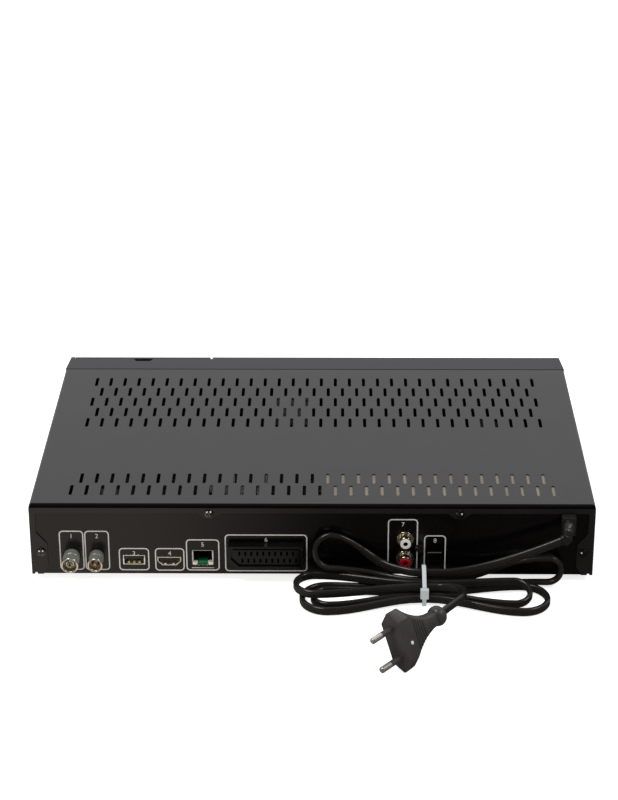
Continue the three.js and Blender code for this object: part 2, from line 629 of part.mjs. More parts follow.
function roundKey() {
  const z = floorZ + standby.up;
  return keyCap(ring(standby.x, z, standby.radius, 20), ring(standby.x, z, standby.radius + key.flange, 20));
}

function oblongKey(x) {
  const z = floorZ + channelKey.up;
  const outline = (grow) => roundedRectangle(x - channelKey.width / 2 - grow, x + channelKey.width / 2 + grow,
    z - channelKey.height / 2 - grow, z + channelKey.height / 2 + grow, channelKey.height / 4);
  return keyCap(outline(0), outline(key.flange));
}

// The front board carries the display and one switch behind each key
function frontControlBoard() {
  const plate = block(frontBoard.left, frontBoard.right, boardFaceY - boardThickness, boardFaceY,
    floorZ + frontBoard.bottomUp, floorZ + frontBoard.topUp);
  const keyBackY = frontY - plasticWall - fit - key.flangeThickness;
  const reach = keyBackY - key.travel - fit;
  const places = [[standby.x, standby.up], ...channelKeyX.map((x) => [x, channelKey.up])];
  const switches = places.map(([x, up]) => {
    const half = keySwitch.size / 2;
    const z = floorZ + up;
    const body = block(x - half, x + half, boardFaceY - boardThickness / 2, reach - keySwitch.capHeight,
      z - half, z + half);
    const cap = alongY(ring(x, z, keySwitch.cap, 10), boardFaceY, reach);
    return joined(body, cap);
  });
  const header = block(ribbonLeft - steel, ribbonLeft + ribbon.width + steel, boardFaceY - boardThickness - ribbon.header,
    boardFaceY - boardThickness / 2, floorZ + frontBoard.bottomUp + steel,
    floorZ + frontBoard.bottomUp + ribbon.header);
  return joined(plate, ...switches, header);
}

function displayModule() {
  const x = (windowPane.left + windowPane.right) / 2;
  const z = floorZ + (windowPane.bottomUp + windowPane.topUp) / 2;
  return block(x - display.width / 2, x + display.width / 2, boardFaceY + seat, frontY - plasticWall - seat,
    z - display.height / 2, z + display.height / 2);
}

// The open steel cage behind the module slot, and the card reader on top of it
const cageFrontY = bayBackY - bay.back - fit;

function slotCage() {
  const half = bay.slotWidth / 2;
  const z = floorZ + moduleSlot.up;
  const top = z + moduleSlot.height / 2 + moduleSlot.shell;
  const outer = block(bay.x - half - moduleSlot.shell, bay.x + half + moduleSlot.shell,
    cageFrontY - moduleSlot.length, cageFrontY, boardTopZ, top);
  const inner = block(bay.x - half, bay.x + half,
    cageFrontY - moduleSlot.length + moduleSlot.shell, cageFrontY + overrun,
    z - moduleSlot.height / 2, z + moduleSlot.height / 2);
  return cutFrom(outer, inner);
}

function cardReader() {
  const half = bay.slotWidth / 2;
  const low = floorZ + moduleSlot.up + moduleSlot.height / 2 + moduleSlot.shell + seat;
  const z = floorZ + cardSlot.up;
  const outer = block(bay.x - half - moduleSlot.shell, bay.x + half + moduleSlot.shell,
    cageFrontY - cardSlot.bodyLength, cageFrontY, low, low + cardSlot.bodyHeight);
  const inner = block(bay.x - half + moduleSlot.shell, bay.x + half - moduleSlot.shell,
    cageFrontY - cardSlot.bodyLength + moduleSlot.shell, cageFrontY + overrun,
    z - cardSlot.height / 2, z + cardSlot.height / 2);
  return cutFrom(outer, inner);
}

// Boards
function mainCircuitBoard() {
  const plate = block(mainBoard.left, mainBoard.right, rearY + mainBoard.rear,
    frontY - mainBoard.frontInset, boardTopZ - boardThickness, boardTopZ);
  const holes = mainScrews.map(({ x, y }) => alongZ(ring(x, y, screw.shank + fit, 10),
    boardTopZ - boardThickness - overrun, boardTopZ + overrun));
  const ribbonHeader = block(ribbonLeft - steel, ribbonLeft + ribbon.width + steel,
    frontY - mainBoard.frontInset - ribbon.landing, frontY - mainBoard.frontInset - ribbon.landing / 2,
    boardTopZ - boardThickness / 2, boardTopZ + ribbon.header);
  const powerHeader = block(mainBoard.right - powerLead.header - standoff.radius, mainBoard.right - standoff.radius,
    rearY + powerLead.y - powerLead.width / 2, rearY + powerLead.y + powerLead.width / 2,
    boardTopZ - boardThickness / 2, boardTopZ + powerLead.header);
  return joined(cutFrom(plate, ...holes), ribbonHeader, powerHeader);
}

function powerSupplyBoard() {
  const plate = block(psuBoard.left, psuBoard.right, rearY + psuBoard.rear, rearY + psuFront,
    boardTopZ - boardThickness, boardTopZ);
  const header = block(psuBoard.left + standoff.radius, psuBoard.left + standoff.radius + powerLead.header,
    rearY + powerLead.y - powerLead.width / 2, rearY + powerLead.y + powerLead.width / 2,
    boardTopZ - boardThickness / 2, boardTopZ + powerLead.header);
  const inlet = block(relief.x - relief.width / 2, relief.x + relief.width / 2, rearY + psuBoard.rear + standoff.radius * 3,
    rearY + psuBoard.rear + standoff.radius * 5, boardTopZ - boardThickness / 2, boardTopZ + powerLead.header * 2);
  return joined(plate, header, inlet);
}

function finnedSink() {
  const half = heatSink.size / 2;
  const low = boardTopZ + decoder.height;
  const y = rearY + decoder.y;
  const base = block(decoder.x - half, decoder.x + half, y - half, y + half, low, low + heatSink.base);
  const pitch = (heatSink.size - heatSink.fin) / (heatSink.fins - 1);
  const fins = Array.from({ length: heatSink.fins }, (_, i) => {
    const x = decoder.x - half + i * pitch;
    return block(x, x + heatSink.fin, y - half, y + half, low + heatSink.base / 2, low + heatSink.height);
  });
  return joined(base, ...fins);
}

function decoderChip() {
  const half = decoder.size / 2;
  const y = rearY + decoder.y;
  return block(decoder.x - half, decoder.x + half, y - half, y + half, boardTopZ, boardTopZ + decoder.height);
}

function powerSink() {
  const y = rearY + psuSink.y;
  const plate = block(psuSink.x, psuSink.x + psuSink.thickness, y - psuSink.length / 2, y + psuSink.length / 2,
    boardTopZ, boardTopZ + psuSink.height);
  const pitch = (psuSink.length - psuSink.finThickness) / (psuSink.fins - 1);
  const fins = Array.from({ length: psuSink.fins }, (_, i) => {
    const start = y - psuSink.length / 2 + i * pitch;
    return block(psuSink.x + psuSink.thickness / 2, psuSink.x + psuSink.thickness + psuSink.finReach,
      start, start + psuSink.finThickness, boardTopZ + psuSink.finReach, boardTopZ + psuSink.height);
  });
  return joined(plate, ...fins);
}

function transformerBody() {
  const y = rearY + transformer.y;
  const { width, depth, height, waist } = transformer;
  const core = alongX([
    point(y - depth / 2, boardTopZ), point(y + depth / 2, boardTopZ),
    point(y + depth / 2, boardTopZ + height), point(y - depth / 2, boardTopZ + height),
  ], transformer.x - width / 2 + waist, transformer.x + width / 2 - waist);
  const winding = alongX(roundedRectangle(y - depth / 2 - waist, y + depth / 2 + waist,
    boardTopZ + waist, boardTopZ + height - waist, 2 * waist), transformer.x - width / 4, transformer.x + width / 4);
  const cheeks = [-1, 1].map((side) => {
    const outer = transformer.x + side * (width / 2);
    const inner = outer - side * 2 * waist;
    return block(Math.min(inner, outer), Math.max(inner, outer), y - depth / 2, y + depth / 2,
      boardTopZ, boardTopZ + height - waist);
  });
  return joined(core, winding, ...cheeks);
}

function bulkCapacitor() {
  const { radius, height, groove } = capacitor;
  const profile = [
    [0, boardTopZ], [radius, boardTopZ], [radius, boardTopZ + 2 * groove], [radius - groove, boardTopZ + 3 * groove],
    [radius, boardTopZ + 4 * groove], [radius, boardTopZ + height - groove],
    [radius - groove, boardTopZ + height], [0, boardTopZ + height],
  ].map(([r, z]) => [r, -z]);
  return turned(profile.reverse(), 20).rotateX(-Math.PI / 2).translate(capacitor.x, rearY + capacitor.y, 0);
}

function mainsFilter() {
  const y = rearY + lineFilter.y;
  const half = lineFilter.width / 2;
  const bobbin = block(lineFilter.x - half, lineFilter.x + half, y - lineFilter.depth / 2, y + lineFilter.depth / 2,
    boardTopZ, boardTopZ + lineFilter.height / 4);
  const windings = [-1, 1].map((side) => alongX(
    ring(y + side * lineFilter.depth / 4, boardTopZ + lineFilter.height / 2, lineFilter.depth / 5, 12),
    lineFilter.x - half, lineFilter.x + half));
  const yoke = block(lineFilter.x - half / 3, lineFilter.x + half / 3, y - lineFilter.depth / 2,
    y + lineFilter.depth / 2, boardTopZ + lineFilter.height / 8, boardTopZ + lineFilter.height);
  return joined(bobbin, ...windings, yoke);
}

// Ribbon from the main board up to the front board, and the short supply lead between the boards
function frontRibbon() {
  const y0 = frontY - mainBoard.frontInset - ribbon.landing * 0.75;
  const y1 = boardFaceY - boardThickness - ribbon.header / 2;
  const z0 = boardTopZ + ribbon.header + ribbon.thickness / 2;
  const z1 = floorZ + frontBoard.bottomUp + ribbon.header + ribbon.thickness / 2;
  const crest = Math.max(z0, z1) + ribbon.rise;
  const along = new THREE.CatmullRomCurve3([
    new THREE.Vector3(y0, z0, 0), new THREE.Vector3(y0 + ribbon.thickness, (z0 + crest) / 2, 0),
    new THREE.Vector3((y0 + y1) / 2, crest, 0),
    new THREE.Vector3(y1 - ribbon.thickness, (z1 + crest) / 2, 0), new THREE.Vector3(y1, z1, 0),
  ]);
  return alongX(band(along, ribbon.thickness, 14), ribbonLeft, ribbonLeft + ribbon.width);
}

function supplyLead() {
  const x0 = mainBoard.right - standoff.radius - powerLead.header / 2;
  const x1 = psuBoard.left + standoff.radius + powerLead.header / 2;
  const z = boardTopZ + powerLead.header + powerLead.thickness / 2;
  const along = new THREE.CatmullRomCurve3([
    new THREE.Vector3(x0, z, 0), new THREE.Vector3(x0 + powerLead.thickness, z + powerLead.rise * 0.8, 0),
    new THREE.Vector3((x0 + x1) / 2, z + powerLead.rise, 0),
    new THREE.Vector3(x1 - powerLead.thickness, z + powerLead.rise * 0.8, 0), new THREE.Vector3(x1, z, 0),
  ]);
  const y = rearY + powerLead.y;
  return alongY(band(along, powerLead.thickness, 12), y - powerLead.width / 2 + steel,
    y + powerLead.width / 2 - steel);
}

// A strip of even thickness on each side of a plane curve
function band(curve, thickness, steps) {
  const left = [];
  const right = [];
  for (let i = 0; i <= steps; i += 1) {
    const at = curve.getPoint(i / steps);
    const along = curve.getTangent(i / steps);
    const side = point(-along.y, along.x).multiplyScalar(thickness / 2);
    left.push(point(at.x + side.x, at.y + side.y));
    right.push(point(at.x - side.x, at.y - side.y));
  }
  return [...left, ...right.reverse()];
}

// Rear sockets
function antennaSocket(socket, split) {
  const backY = panelInnerY + tunerGap;
  const mouthY = rearY - socket.reach;
  const stepY = rearY - socket.reach * 0.42;
  const floorY = rearY - fit;
  const wallRadius = (socket.radius + socket.bore) / 2;
  const contactTop = split ? mouthY + fit * 2 : mouthY + steel;
  const profile = [
    [0, contactTop], [socket.contact * 0.7, contactTop], [socket.contact, contactTop + steel],
    [socket.contact, floorY], [socket.bore, floorY], [socket.bore, mouthY + fit], [wallRadius, mouthY],
    [socket.radius - fit, mouthY + fit], [socket.radius - fit, stepY], [socket.radius, stepY + fit],
    [socket.radius, backY], [0, backY],
  ];
  const barrel = turnedY(profile, socket.x, floorZ + socket.up, 20);
  if (!split) return barrel;
  const z = floorZ + socket.up;
  const bore = turnedY([[0, mouthY - overrun], [socket.contactHole, mouthY - overrun],
    [socket.contactHole, floorY - overrun], [0, floorY - overrun]], socket.x, z, 10);
  const slit = block(socket.x - steel / 4, socket.x + steel / 4, mouthY - overrun, (mouthY + floorY) / 2,
    z - socket.contact * 1.2, z + socket.contact * 1.2);
  return cutFrom(barrel, bore, slit);
}

const tunerGap = 0.2;

function tunerBox() {
  const rear = panelInnerY + tunerGap + seat;
  const can = block(tunerCan.left, tunerCan.right, rear, rear + tunerCan.depth, boardTopZ, boardTopZ + tunerCan.height);
  const lidEdge = 1.2;
  const recess = block(tunerCan.left + 2 * lidEdge, tunerCan.right - 2 * lidEdge, rear + 2 * lidEdge,
    rear + tunerCan.depth - 2 * lidEdge, boardTopZ + tunerCan.height - lidEdge, boardTopZ + tunerCan.height + overrun);
  return cutFrom(can, recess);
}

function usbSocket() {
  const z = floorZ + usb.up;
  const half = usb.width / 2;
  const shell = block(usb.x - half, usb.x + half, rearY, rearY + usb.depth, z - usb.height / 2, z + usb.height / 2);
  const mouth = block(usb.x - half + usb.shell, usb.x + half - usb.shell, rearY - overrun,
    rearY + usb.depth - 2 * usb.shell, z - usb.height / 2 + usb.shell, z + usb.height / 2 - usb.shell);
  const tongue = block(usb.x - half + 2 * usb.shell, usb.x + half - 2 * usb.shell, rearY + usb.shell,
    rearY + usb.depth - usb.shell, z + usb.height / 2 - usb.shell - usb.tongue - fit,
    z + usb.height / 2 - usb.shell - fit);
  const base = block(usb.x - half + usb.shell, usb.x + half - usb.shell, rearY + mainBoard.rear + seat,
    rearY + usb.depth, boardTopZ, z);
  return joined(cutFrom(joined(shell, base), mouth), tongue);
}

function hdmiSocket() {
  const z = floorZ + hdmi.up;
  const shell = alongY(hdmiOutline(0), rearY, rearY + hdmi.depth);
  const mouth = alongY(hdmiOutline(-hdmi.shell), rearY - overrun, rearY + hdmi.depth - 2 * hdmi.shell);
  const half = hdmi.width / 2 - 2.2 * hdmi.shell;
  const tongue = block(hdmi.x - half, hdmi.x + half, rearY + hdmi.shell, rearY + hdmi.depth - hdmi.shell,
    z + hdmi.shell / 2, z + hdmi.shell / 2 + hdmi.tongue);
  const base = block(hdmi.x - half, hdmi.x + half, rearY + mainBoard.rear + seat, rearY + hdmi.depth,
    boardTopZ, z);
  return joined(cutFrom(joined(shell, base), mouth), tongue);
}

function networkSocket() {
  const z = floorZ + network.up;
  const half = network.width / 2;
  const low = z - network.height / 2;
  const front = panelInnerY + seat;
  const shell = block(network.x - half, network.x + half, front, front + network.depth, low, z + network.height / 2);
  const cavity = block(network.x - half + network.rim, network.x + half - network.rim, front - overrun,
    front + network.depth - network.rim, low + network.rim + network.keyHeight, z + network.height / 2 - network.rim);
  const keyway = block(network.x - network.keyWidth / 2, network.x + network.keyWidth / 2, front - overrun,
    front + network.depth - network.rim, low + network.rim / 2, z);
  const feet = block(network.x - half + network.rim, network.x + half - network.rim,
    front + mainBoard.rear, front + network.depth, boardTopZ, low + network.rim / 2);
  return cutFrom(low > boardTopZ ? joined(shell, feet) : shell, cavity, keyway);
}

function scartSocket() {
  const front = rearY - scart.reach;
  const back = rearY + scart.depth;
  const z = floorZ + scart.up;
  const body = alongY(scartOutline(0), front, back);
  const well = alongY(scartOutline(-scart.wall), front - overrun, front + scartContacts.bed);
  const { columns, pitch, rowSpacing, width, height } = scartContacts;
  const slots = [];
  for (let row = 0; row < 2; row += 1) {
    for (let i = 0; i < columns; i += 1) {
      const shift = (row === 0 ? 1 : -1) * pitch / 4;
      const x = scart.x + scart.bevel / 4 + shift + (i - (columns - 1) / 2) * pitch;
      const up = z + (row - 1 / 2) * rowSpacing;
      slots.push(block(x - width / 2, x + width / 2, front - overrun, front + scart.reach,
        up - height / 2, up + height / 2));
    }
  }
  const island = alongY(scartOutline(-scart.wall - scartContacts.width), front + steel, front + 2 * scartContacts.bed);
  const base = block(scart.x - scart.width / 2 + scart.bevel, scart.x + scart.width / 2 - scart.wall,
    rearY + mainBoard.rear + seat, back, boardTopZ, z);
  return cutFrom(joined(cutFrom(joined(body, base), well), island), mergeGeometries(slots));
}

function phonoHousing() {
  const low = boardTopZ;
  const front = panelInnerY + seat;
  const half = phonoBlock.width / 2;
  const body = block(phono.x - half, phono.x + half, front, front + phonoBlock.depth, low, floorZ + phonoBlock.height);
  const bosses = [phono.upperUp, phono.lowerUp].map((up) => turnedY([
    [0, front - steel - seat], [phonoInsert.radius + fit / 2, front - steel - seat],
    [phonoInsert.radius + fit / 2, front + steel], [0, front + steel],
  ], phono.x, floorZ + up, 16));
  const bores = [phono.upperUp, phono.lowerUp].map((up) => alongY(
    ring(phono.x, floorZ + up, phonoBlock.bore, 14), front - overrun, front + phonoBlock.depth - phonoBlock.bore));
  const ear = block(phono.x, phonoScrewX + screw.head, front, front + 2 * screw.shank + screw.length / 2,
    floorZ + phonoScrewUp - screw.head, floorZ + phonoScrewUp + screw.head);
  const screwBore = alongY(ring(phonoScrewX, floorZ + phonoScrewUp, screw.shank + fit, 10),
    front - overrun, front + phonoBlock.depth + overrun);
  return cutFrom(joined(body, ear), ...bores, screwBore);
}

function phonoShell(up) {
  const outerY = rearY - phono.reach;
  const inner = phonoInsert.radius + fit;
  const profile = [
    [inner, outerY], [phono.barrel - fit, outerY], [phono.barrel, outerY + fit],
    [phono.barrel, rearY - phono.flangeReach], [phono.flange - fit, rearY - phono.flangeReach],
    [phono.flange, rearY - phono.flangeReach + fit], [phono.flange, rearY - seat],
    [phono.barrel - fit / 2, rearY - seat], [phono.barrel - fit / 2, panelInnerY], [inner, panelInnerY],
    [inner, outerY],
  ];
  return turnedY(profile, phono.x, floorZ + up, 20);
}

function phonoCore(up) {
  const outerY = rearY - phono.reach - phonoInsert.proud;
  const innerY = outerY + phonoInsert.depth;
  const { radius, hole } = phonoInsert;
  const stem = phonoBlock.bore - fit;
  const profile = [
    [hole, outerY], [radius - fit, outerY], [radius, outerY + fit], [radius, innerY],
    [stem, innerY], [stem, panelInnerY + phonoBlock.bore], [hole, panelInnerY + phonoBlock.bore], [hole, outerY],
  ];
  return turnedY(profile, phono.x, floorZ + up, 18);
}

// Optical jack with a spring-loaded shutter that swings inward about its top edge
const shutterTopZ = floorZ + optical.up + optical.height / 2 - optical.rim - fit;
const shutterBottomZ = floorZ + optical.up - optical.height / 2 + optical.rim + fit;
const shutterY = rearY + shutter.setBack;

function opticalJack() {
  const z = floorZ + optical.up;
  const half = optical.width / 2;
  const collar = block(optical.x - half, optical.x + half, rearY - steel / 2, rearY + mainBoard.rear - fit,
    z - optical.height / 2, z + optical.height / 2);
  const body = block(optical.x - half, optical.x + half, rearY, rearY + optical.depth,
    boardTopZ, z + optical.height / 2);
  const mouth = block(optical.x - half + optical.rim, optical.x + half - optical.rim, rearY - overrun,
    rearY + optical.depth - optical.rim, z - optical.height / 2 + optical.rim, z + optical.height / 2 - optical.rim);
  const pivot = alongX(ring(shutterY, shutterTopZ - shutter.thickness / 2, shutter.thickness / 2 + seat, 12),
    optical.x - half + optical.rim / 2, optical.x + half - optical.rim / 2);
  return cutFrom(joined(collar, body), mouth, pivot);
}

function opticalShutter() {
  const half = optical.width / 2 - optical.rim - fit;
  const t = shutter.thickness / 2;
  const axisZ = shutterTopZ - t;
  const section = [
    ...arc(shutterY, axisZ, t, 0, Math.PI, 6),
    point(shutterY - t, shutterBottomZ), point(shutterY + t, shutterBottomZ),
  ];
  const leaf = alongX(section, optical.x - half, optical.x + half);
  const pin = alongX(ring(shutterY, axisZ, t * 0.8, 8),
    optical.x - half - optical.rim / 2, optical.x + half + optical.rim / 2);
  return joined(leaf, pin);
}

function footAt(x, y) {
  const { radius, waist, chamfer } = foot;
  const profile = [[0, 0], [radius - chamfer, 0], [radius, chamfer], [radius, footHeight / 2],
    [waist, footHeight], [0, footHeight]].map(([r, z]) => [r, -z]);
  return turned(profile.reverse(), 18).rotateX(-Math.PI / 2).translate(x, y, 0);
}

// The cord. Stations hold a place on its centre line and the direction of its wide side.
const outward = (x, out, z) => new THREE.Vector3(x, rearY - out, z);
const upright = new THREE.Vector3(0, 0, 1);
const strandPitch = cord.thickness + strandGap;
const layerPitch = cord.width + strandGap;
const tieBase = tie.strap + seat;
const hankStartX = tie.x + tie.width + cord.thickness / 2;
const sixSidedShares = [[0.5, 0], [0.25, 0.5], [-0.25, 0.5], [-0.5, 0], [-0.25, -0.5], [0.25, -0.5]];
const eightSidedShares = [[0.5, 0.2], [0.3, 0.5], [-0.3, 0.5], [-0.5, 0.2],
  [-0.5, -0.2], [-0.3, -0.5], [0.3, -0.5], [0.5, -0.2]];

// Where each of the eight strands passes through the tie: column from the panel, and layer
const strandSlots = [[0, 2], [0, 1], [0, 0], [3, 0], [1, 0], [2, 0], [1, 1], [2, 1]];

// Twelve steps to a fold, so a full turn of the cord has twenty-four
const runSteps = 3;
const bendSteps = 5;

// Each fold of the hank: how far it reaches from the tie, and where its two runs lie
const folds = [
  { side: -1, reach: 69, from: { out: 4, z: 35 }, to: { out: 11, z: 15 }, lean: 0.35 },
  { side: 1, reach: 88, from: { out: 6, z: 20 }, to: { out: 7.5, z: 3.2 }, lean: 0.3 },
  { side: -1, reach: 77, from: { out: 13, z: 2.9 }, to: { out: 45, z: 2.9 }, lean: 0 },
  { side: 1, reach: 78, from: { out: 45.5, z: 2.9 }, to: { out: 12.5, z: 2.9 }, lean: 0 },
  { side: -1, reach: 70, from: { out: 18, z: 2.9 }, to: { out: 38, z: 2.9 }, lean: 0 },
  { side: 1, reach: 67, from: { out: 36, z: 3.2 }, to: { out: 17, z: 8.9 }, lean: 0 },
  { side: -1, reach: 81, from: { out: 9.5, z: 8.9 }, to: { out: 34, z: 8.9 }, lean: 0 },
];

function slotPlace([column, layer]) {
  const columns = Math.max(...strandSlots.map(([c]) => c));
  return {
    out: tie.out + (column - columns / 2) * strandPitch,
    z: tieBase + cord.width / 2 + layer * layerPitch,
  };
}

const ease = (share) => share * share * (3 - 2 * share);

// A run leaves the tie straight, spreads and rises to where its fold begins
function runStation(fold, slot, end, share, straightEnd) {
  const spread = ease(Math.min(1, share / (1 - fold.lean)));
  const climb = ease(Math.max(0, (share - fold.lean) / (1 - fold.lean)));
  const out = slot.out + (end.out - slot.out) * spread;
  const z = slot.z + (end.z - slot.z) * climb;
  const along = tie.width + (straightEnd - tie.width) * share;
  return { at: outward(tie.x + fold.side * along, out, z), turn: climb };
}

function foldStations(fold, slotA, slotB) {
  const across = new THREE.Vector3(0, fold.from.out - fold.to.out, fold.to.z - fold.from.z);
  const radius = across.length() / 2;
  const straightEnd = fold.reach - radius;
  const outwardX = new THREE.Vector3(fold.side, 0, 0);
  const normal = outwardX.clone().cross(across).normalize();
  if (normal.dot(upright) < 0) normal.negate();
  if (Math.abs(normal.z) < Math.abs(normal.y) && normal.y > 0) normal.negate();
  const wideAt = (turn) => upright.clone().lerp(normal, turn).normalize();
  const stations = [];
  for (let i = 0; i < runSteps; i += 1) {
    const run = runStation(fold, slotA, fold.from, i / runSteps, straightEnd);
    stations.push({ at: run.at, wide: wideAt(run.turn) });
  }
  const middle = outward(tie.x + fold.side * straightEnd, (fold.from.out + fold.to.out) / 2,
    (fold.from.z + fold.to.z) / 2);
  for (let i = 0; i <= bendSteps; i += 1) {
    const angle = Math.PI * (i / bendSteps);
    const at = middle.clone().addScaledVector(across, -Math.cos(angle) / 2)
      .addScaledVector(outwardX, Math.sin(angle) * radius);
    stations.push({ at, wide: normal.clone() });
  }
  for (let i = runSteps - 1; i >= 0; i -= 1) {
    const run = runStation(fold, slotB, fold.to, i / runSteps, straightEnd);
    stations.push({ at: run.at, wide: wideAt(run.turn) });
  }
  return stations;
}

function hankStations() {
  const places = strandSlots.map(slotPlace);
  const stations = [{ at: outward(hankStartX, places[0].out, places[0].z), wide: upright.clone() }];
  folds.forEach((fold, i) => {
    stations.push(...foldStations(fold, places[i], places[i + 1]));
  });
  const last = places[places.length - 1];
  stations.push({ at: outward(hankStartX, last.out, last.z), wide: upright.clone() });
  return stations;
}

function sectionRing(stations, i, sectionShares) {
  const before = stations[Math.max(0, i - 1)].at;
  const after = stations[Math.min(stations.length - 1, i + 1)].at;
  const along = after.clone().sub(before).normalize();
  const side = along.clone().cross(stations[i].wide).normalize();
  const wide = side.clone().cross(along).normalize();
  return sectionShares.map(([w, t]) => stations[i].at.clone()
    .addScaledVector(wide, w * cord.width).addScaledVector(side, t * cord.thickness));
}

// A closed skin over a row of rings with the same number of points
function loft(rings) {
  const sides = rings[0].length;
  const positions = [];
  rings.forEach((points) => points.forEach((p) => positions.push(p.x, p.y, p.z)));
  const faces = [];
  for (let i = 0; i + 1 < rings.length; i += 1) {
    for (let j = 0; j < sides; j += 1) {
      const a = i * sides + j;
      const b = i * sides + ((j + 1) % sides);
      faces.push(a, a + sides, b, b, a + sides, b + sides);
    }
  }
  const lastRing = (rings.length - 1) * sides;
  for (let j = 1; j + 1 < sides; j += 1) {
    faces.push(0, j, j + 1);
    faces.push(lastRing, lastRing + j + 1, lastRing + j);
  }
  const corner = (index) => new THREE.Vector3().fromArray(positions, index * 3);
  let volume = 0;
  for (let i = 0; i < faces.length; i += 3) {
    volume += corner(faces[i]).dot(corner(faces[i + 1]).cross(corner(faces[i + 2])));
  }
  if (volume < 0) faces.reverse();
  const geometry = new THREE.BufferGeometry();
  geometry.setAttribute('position', new THREE.Float32BufferAttribute(positions, 3));
  geometry.setIndex(faces);
  geometry.computeVertexNormals();
  return geometry;
}

function flatCord(stations, sectionShares) {
  return loft(stations.map((_, i) => sectionRing(stations, i, sectionShares)));
}

// Least distance between stretches of the hank that aren't neighbours along the cord
function leastGap(stations) {
  const between = 6;
  const coarse = stations.map((_, i) => sectionRing(stations, i, sixSidedShares));
  const rings = [];
  const middles = [];
  const lengths = [];
  let length = 0;
  for (let i = 0; i + 1 < stations.length; i += 1) {
    const step = stations[i].at.distanceTo(stations[i + 1].at);
    for (let j = 0; j < between; j += 1) {
      const share = j / between;
      const corners = coarse[i].map((corner, k) => corner.clone().lerp(coarse[i + 1][k], share));
      rings.push(corners.flatMap((corner, k) => [0, 0.25, 0.5, 0.75].map(
        (part) => corner.clone().lerp(corners[(k + 1) % corners.length], part))));
      middles.push(stations[i].at.clone().lerp(stations[i + 1].at, share));
      lengths.push(length + step * share);
    }
    length += step;
  }
  let least = Infinity;
  let place = '';
  for (let i = 0; i < rings.length; i += 1) {
    for (let j = i + 1; j < rings.length; j += 1) {
      if (lengths[j] - lengths[i] < 3 * cord.width) continue;
      if (middles[i].distanceTo(middles[j]) > 2 * cord.width) continue;
      for (const a of rings[i]) {
        for (const b of rings[j]) {
          const distance = a.distanceTo(b);
          if (distance < least) {
            least = distance;
            place = `${lengths[i].toFixed(0)} and ${lengths[j].toFixed(0)} mm along`;
          }
        }
      }
    }
  }
  return { least, place, length };
}

// A free stretch through chosen points, standing on its narrow side
function freeStations(points, wides, steps) {
  const line = new THREE.CatmullRomCurve3(points, false, 'centripetal');
  const stations = [];
  for (let i = 0; i <= steps; i += 1) {
    const t = i / steps;
    const place = t * (wides.length - 1);
    const low = Math.min(wides.length - 2, Math.floor(place));
    stations.push({ at: line.getPoint(t), wide: wides[low].clone().lerp(wides[low + 1], place - low).normalize() });
  }
  return stations;
}

const reliefZ = floorZ + relief.up;
const bootEnd = outward(relief.x - boot.aside, relief.block + boot.reach, reliefZ - boot.down);
const leadStart = slotPlace(strandSlots[0]);

// From the boot the lead drops steeply at first, then runs flatter towards the tie
const leadShares = [0.09, 0.29, 0.54, 0.81];
const leadLanding = outward(hankStartX + 2 * cord.width, leadStart.out, leadStart.z + seat);
const leadRoute = [
  bootEnd,
  ...leadShares.map((share) => {
    const at = bootEnd.clone().lerp(leadLanding, share);
    at.z = leadLanding.z + (bootEnd.z - leadLanding.z) * (1 - share) ** 1.5;
    return at;
  }),
  leadLanding, outward(hankStartX + cord.width, leadStart.out, leadStart.z),
  outward(hankStartX + fit, leadStart.out, leadStart.z),
];
const tailStart = slotPlace(strandSlots[7]);
const plugAxis = new THREE.Vector3(-0.62, -0.78, 0).normalize();
// The plug leans over, and rests on one corner of its narrow side
const plugRest = plug.halfWidth * Math.cos(plugLean) + plug.endHalf * Math.sin(plugLean) + seat;
const plugFace = outward(plugX, plug.out, plugRest);
const collarEnd = plugFace.clone().addScaledVector(plugAxis, -plug.length - plug.collarLength);

// The tail bows away from the tie and back to the plug's collar. "beside" is the distance from the tie.
const tailBow = [
  { beside: 18.5, out: 31.5, z: 12.4 }, { beside: 24, out: 40.5, z: 15.2 },
  { beside: 23, out: 50.5, z: 16.8 }, { beside: 16.5, out: 61, z: 17.4 },
];
const tailRoute = [
  outward(hankStartX + fit, tailStart.out, tailStart.z),
  outward(hankStartX + cord.width, tailStart.out, tailStart.z),
  ...tailBow.map(({ beside, out, z }) => outward(tie.x + beside, out, z)),
  collarEnd.clone().addScaledVector(plugAxis, -fit),
];

function cordLead() {
  return flatCord(freeStations(leadRoute, [upright, upright], 14), eightSidedShares);
}

function cordTail() {
  return flatCord(freeStations(tailRoute, [upright, upright], 12), eightSidedShares);
}

// The tie's strap follows the bundle, with its locking head on the side away from the panel
function cableTie() {
  const columns = Math.max(...strandSlots.map(([c]) => c));
  const back = -rearY + tie.out - (columns / 2) * strandPitch - cord.thickness / 2 - fit;
  const front = -rearY + tie.out + (columns / 2) * strandPitch + cord.thickness / 2 + fit;
  const low = tieBase - seat;
  const topBack = tieBase + 3 * layerPitch - strandGap + fit;
  const topFront = tieBase + 2 * layerPitch - strandGap + fit;
  const stepOut = back + strandPitch;
  const strap = tie.strap;
  const inner = [point(-back, low), point(-back, topBack), point(-stepOut, topBack), point(-front, topFront),
    point(-front, low)];
  const outer = [point(-back + strap, strap / 2), point(-back + strap, topBack + strap),
    point(-stepOut - strap / 2, topBack + strap), point(-front - strap, topFront + strap / 2),
    point(-front - strap, strap / 2), point(-front - strap / 2, 0), point(-back + strap / 2, 0)];
  const loop = alongX(outer, tie.x - tie.width / 2, tie.x + tie.width / 2, [inner]);
  const headZ = topFront - tie.head / 2;
  const head = block(tie.x - tie.headWidth / 2, tie.x + tie.headWidth / 2, -front - tie.headReach, -front - strap / 2,
    headZ - tie.head / 2, headZ + tie.head / 2);
  return joined(loop, head);
}

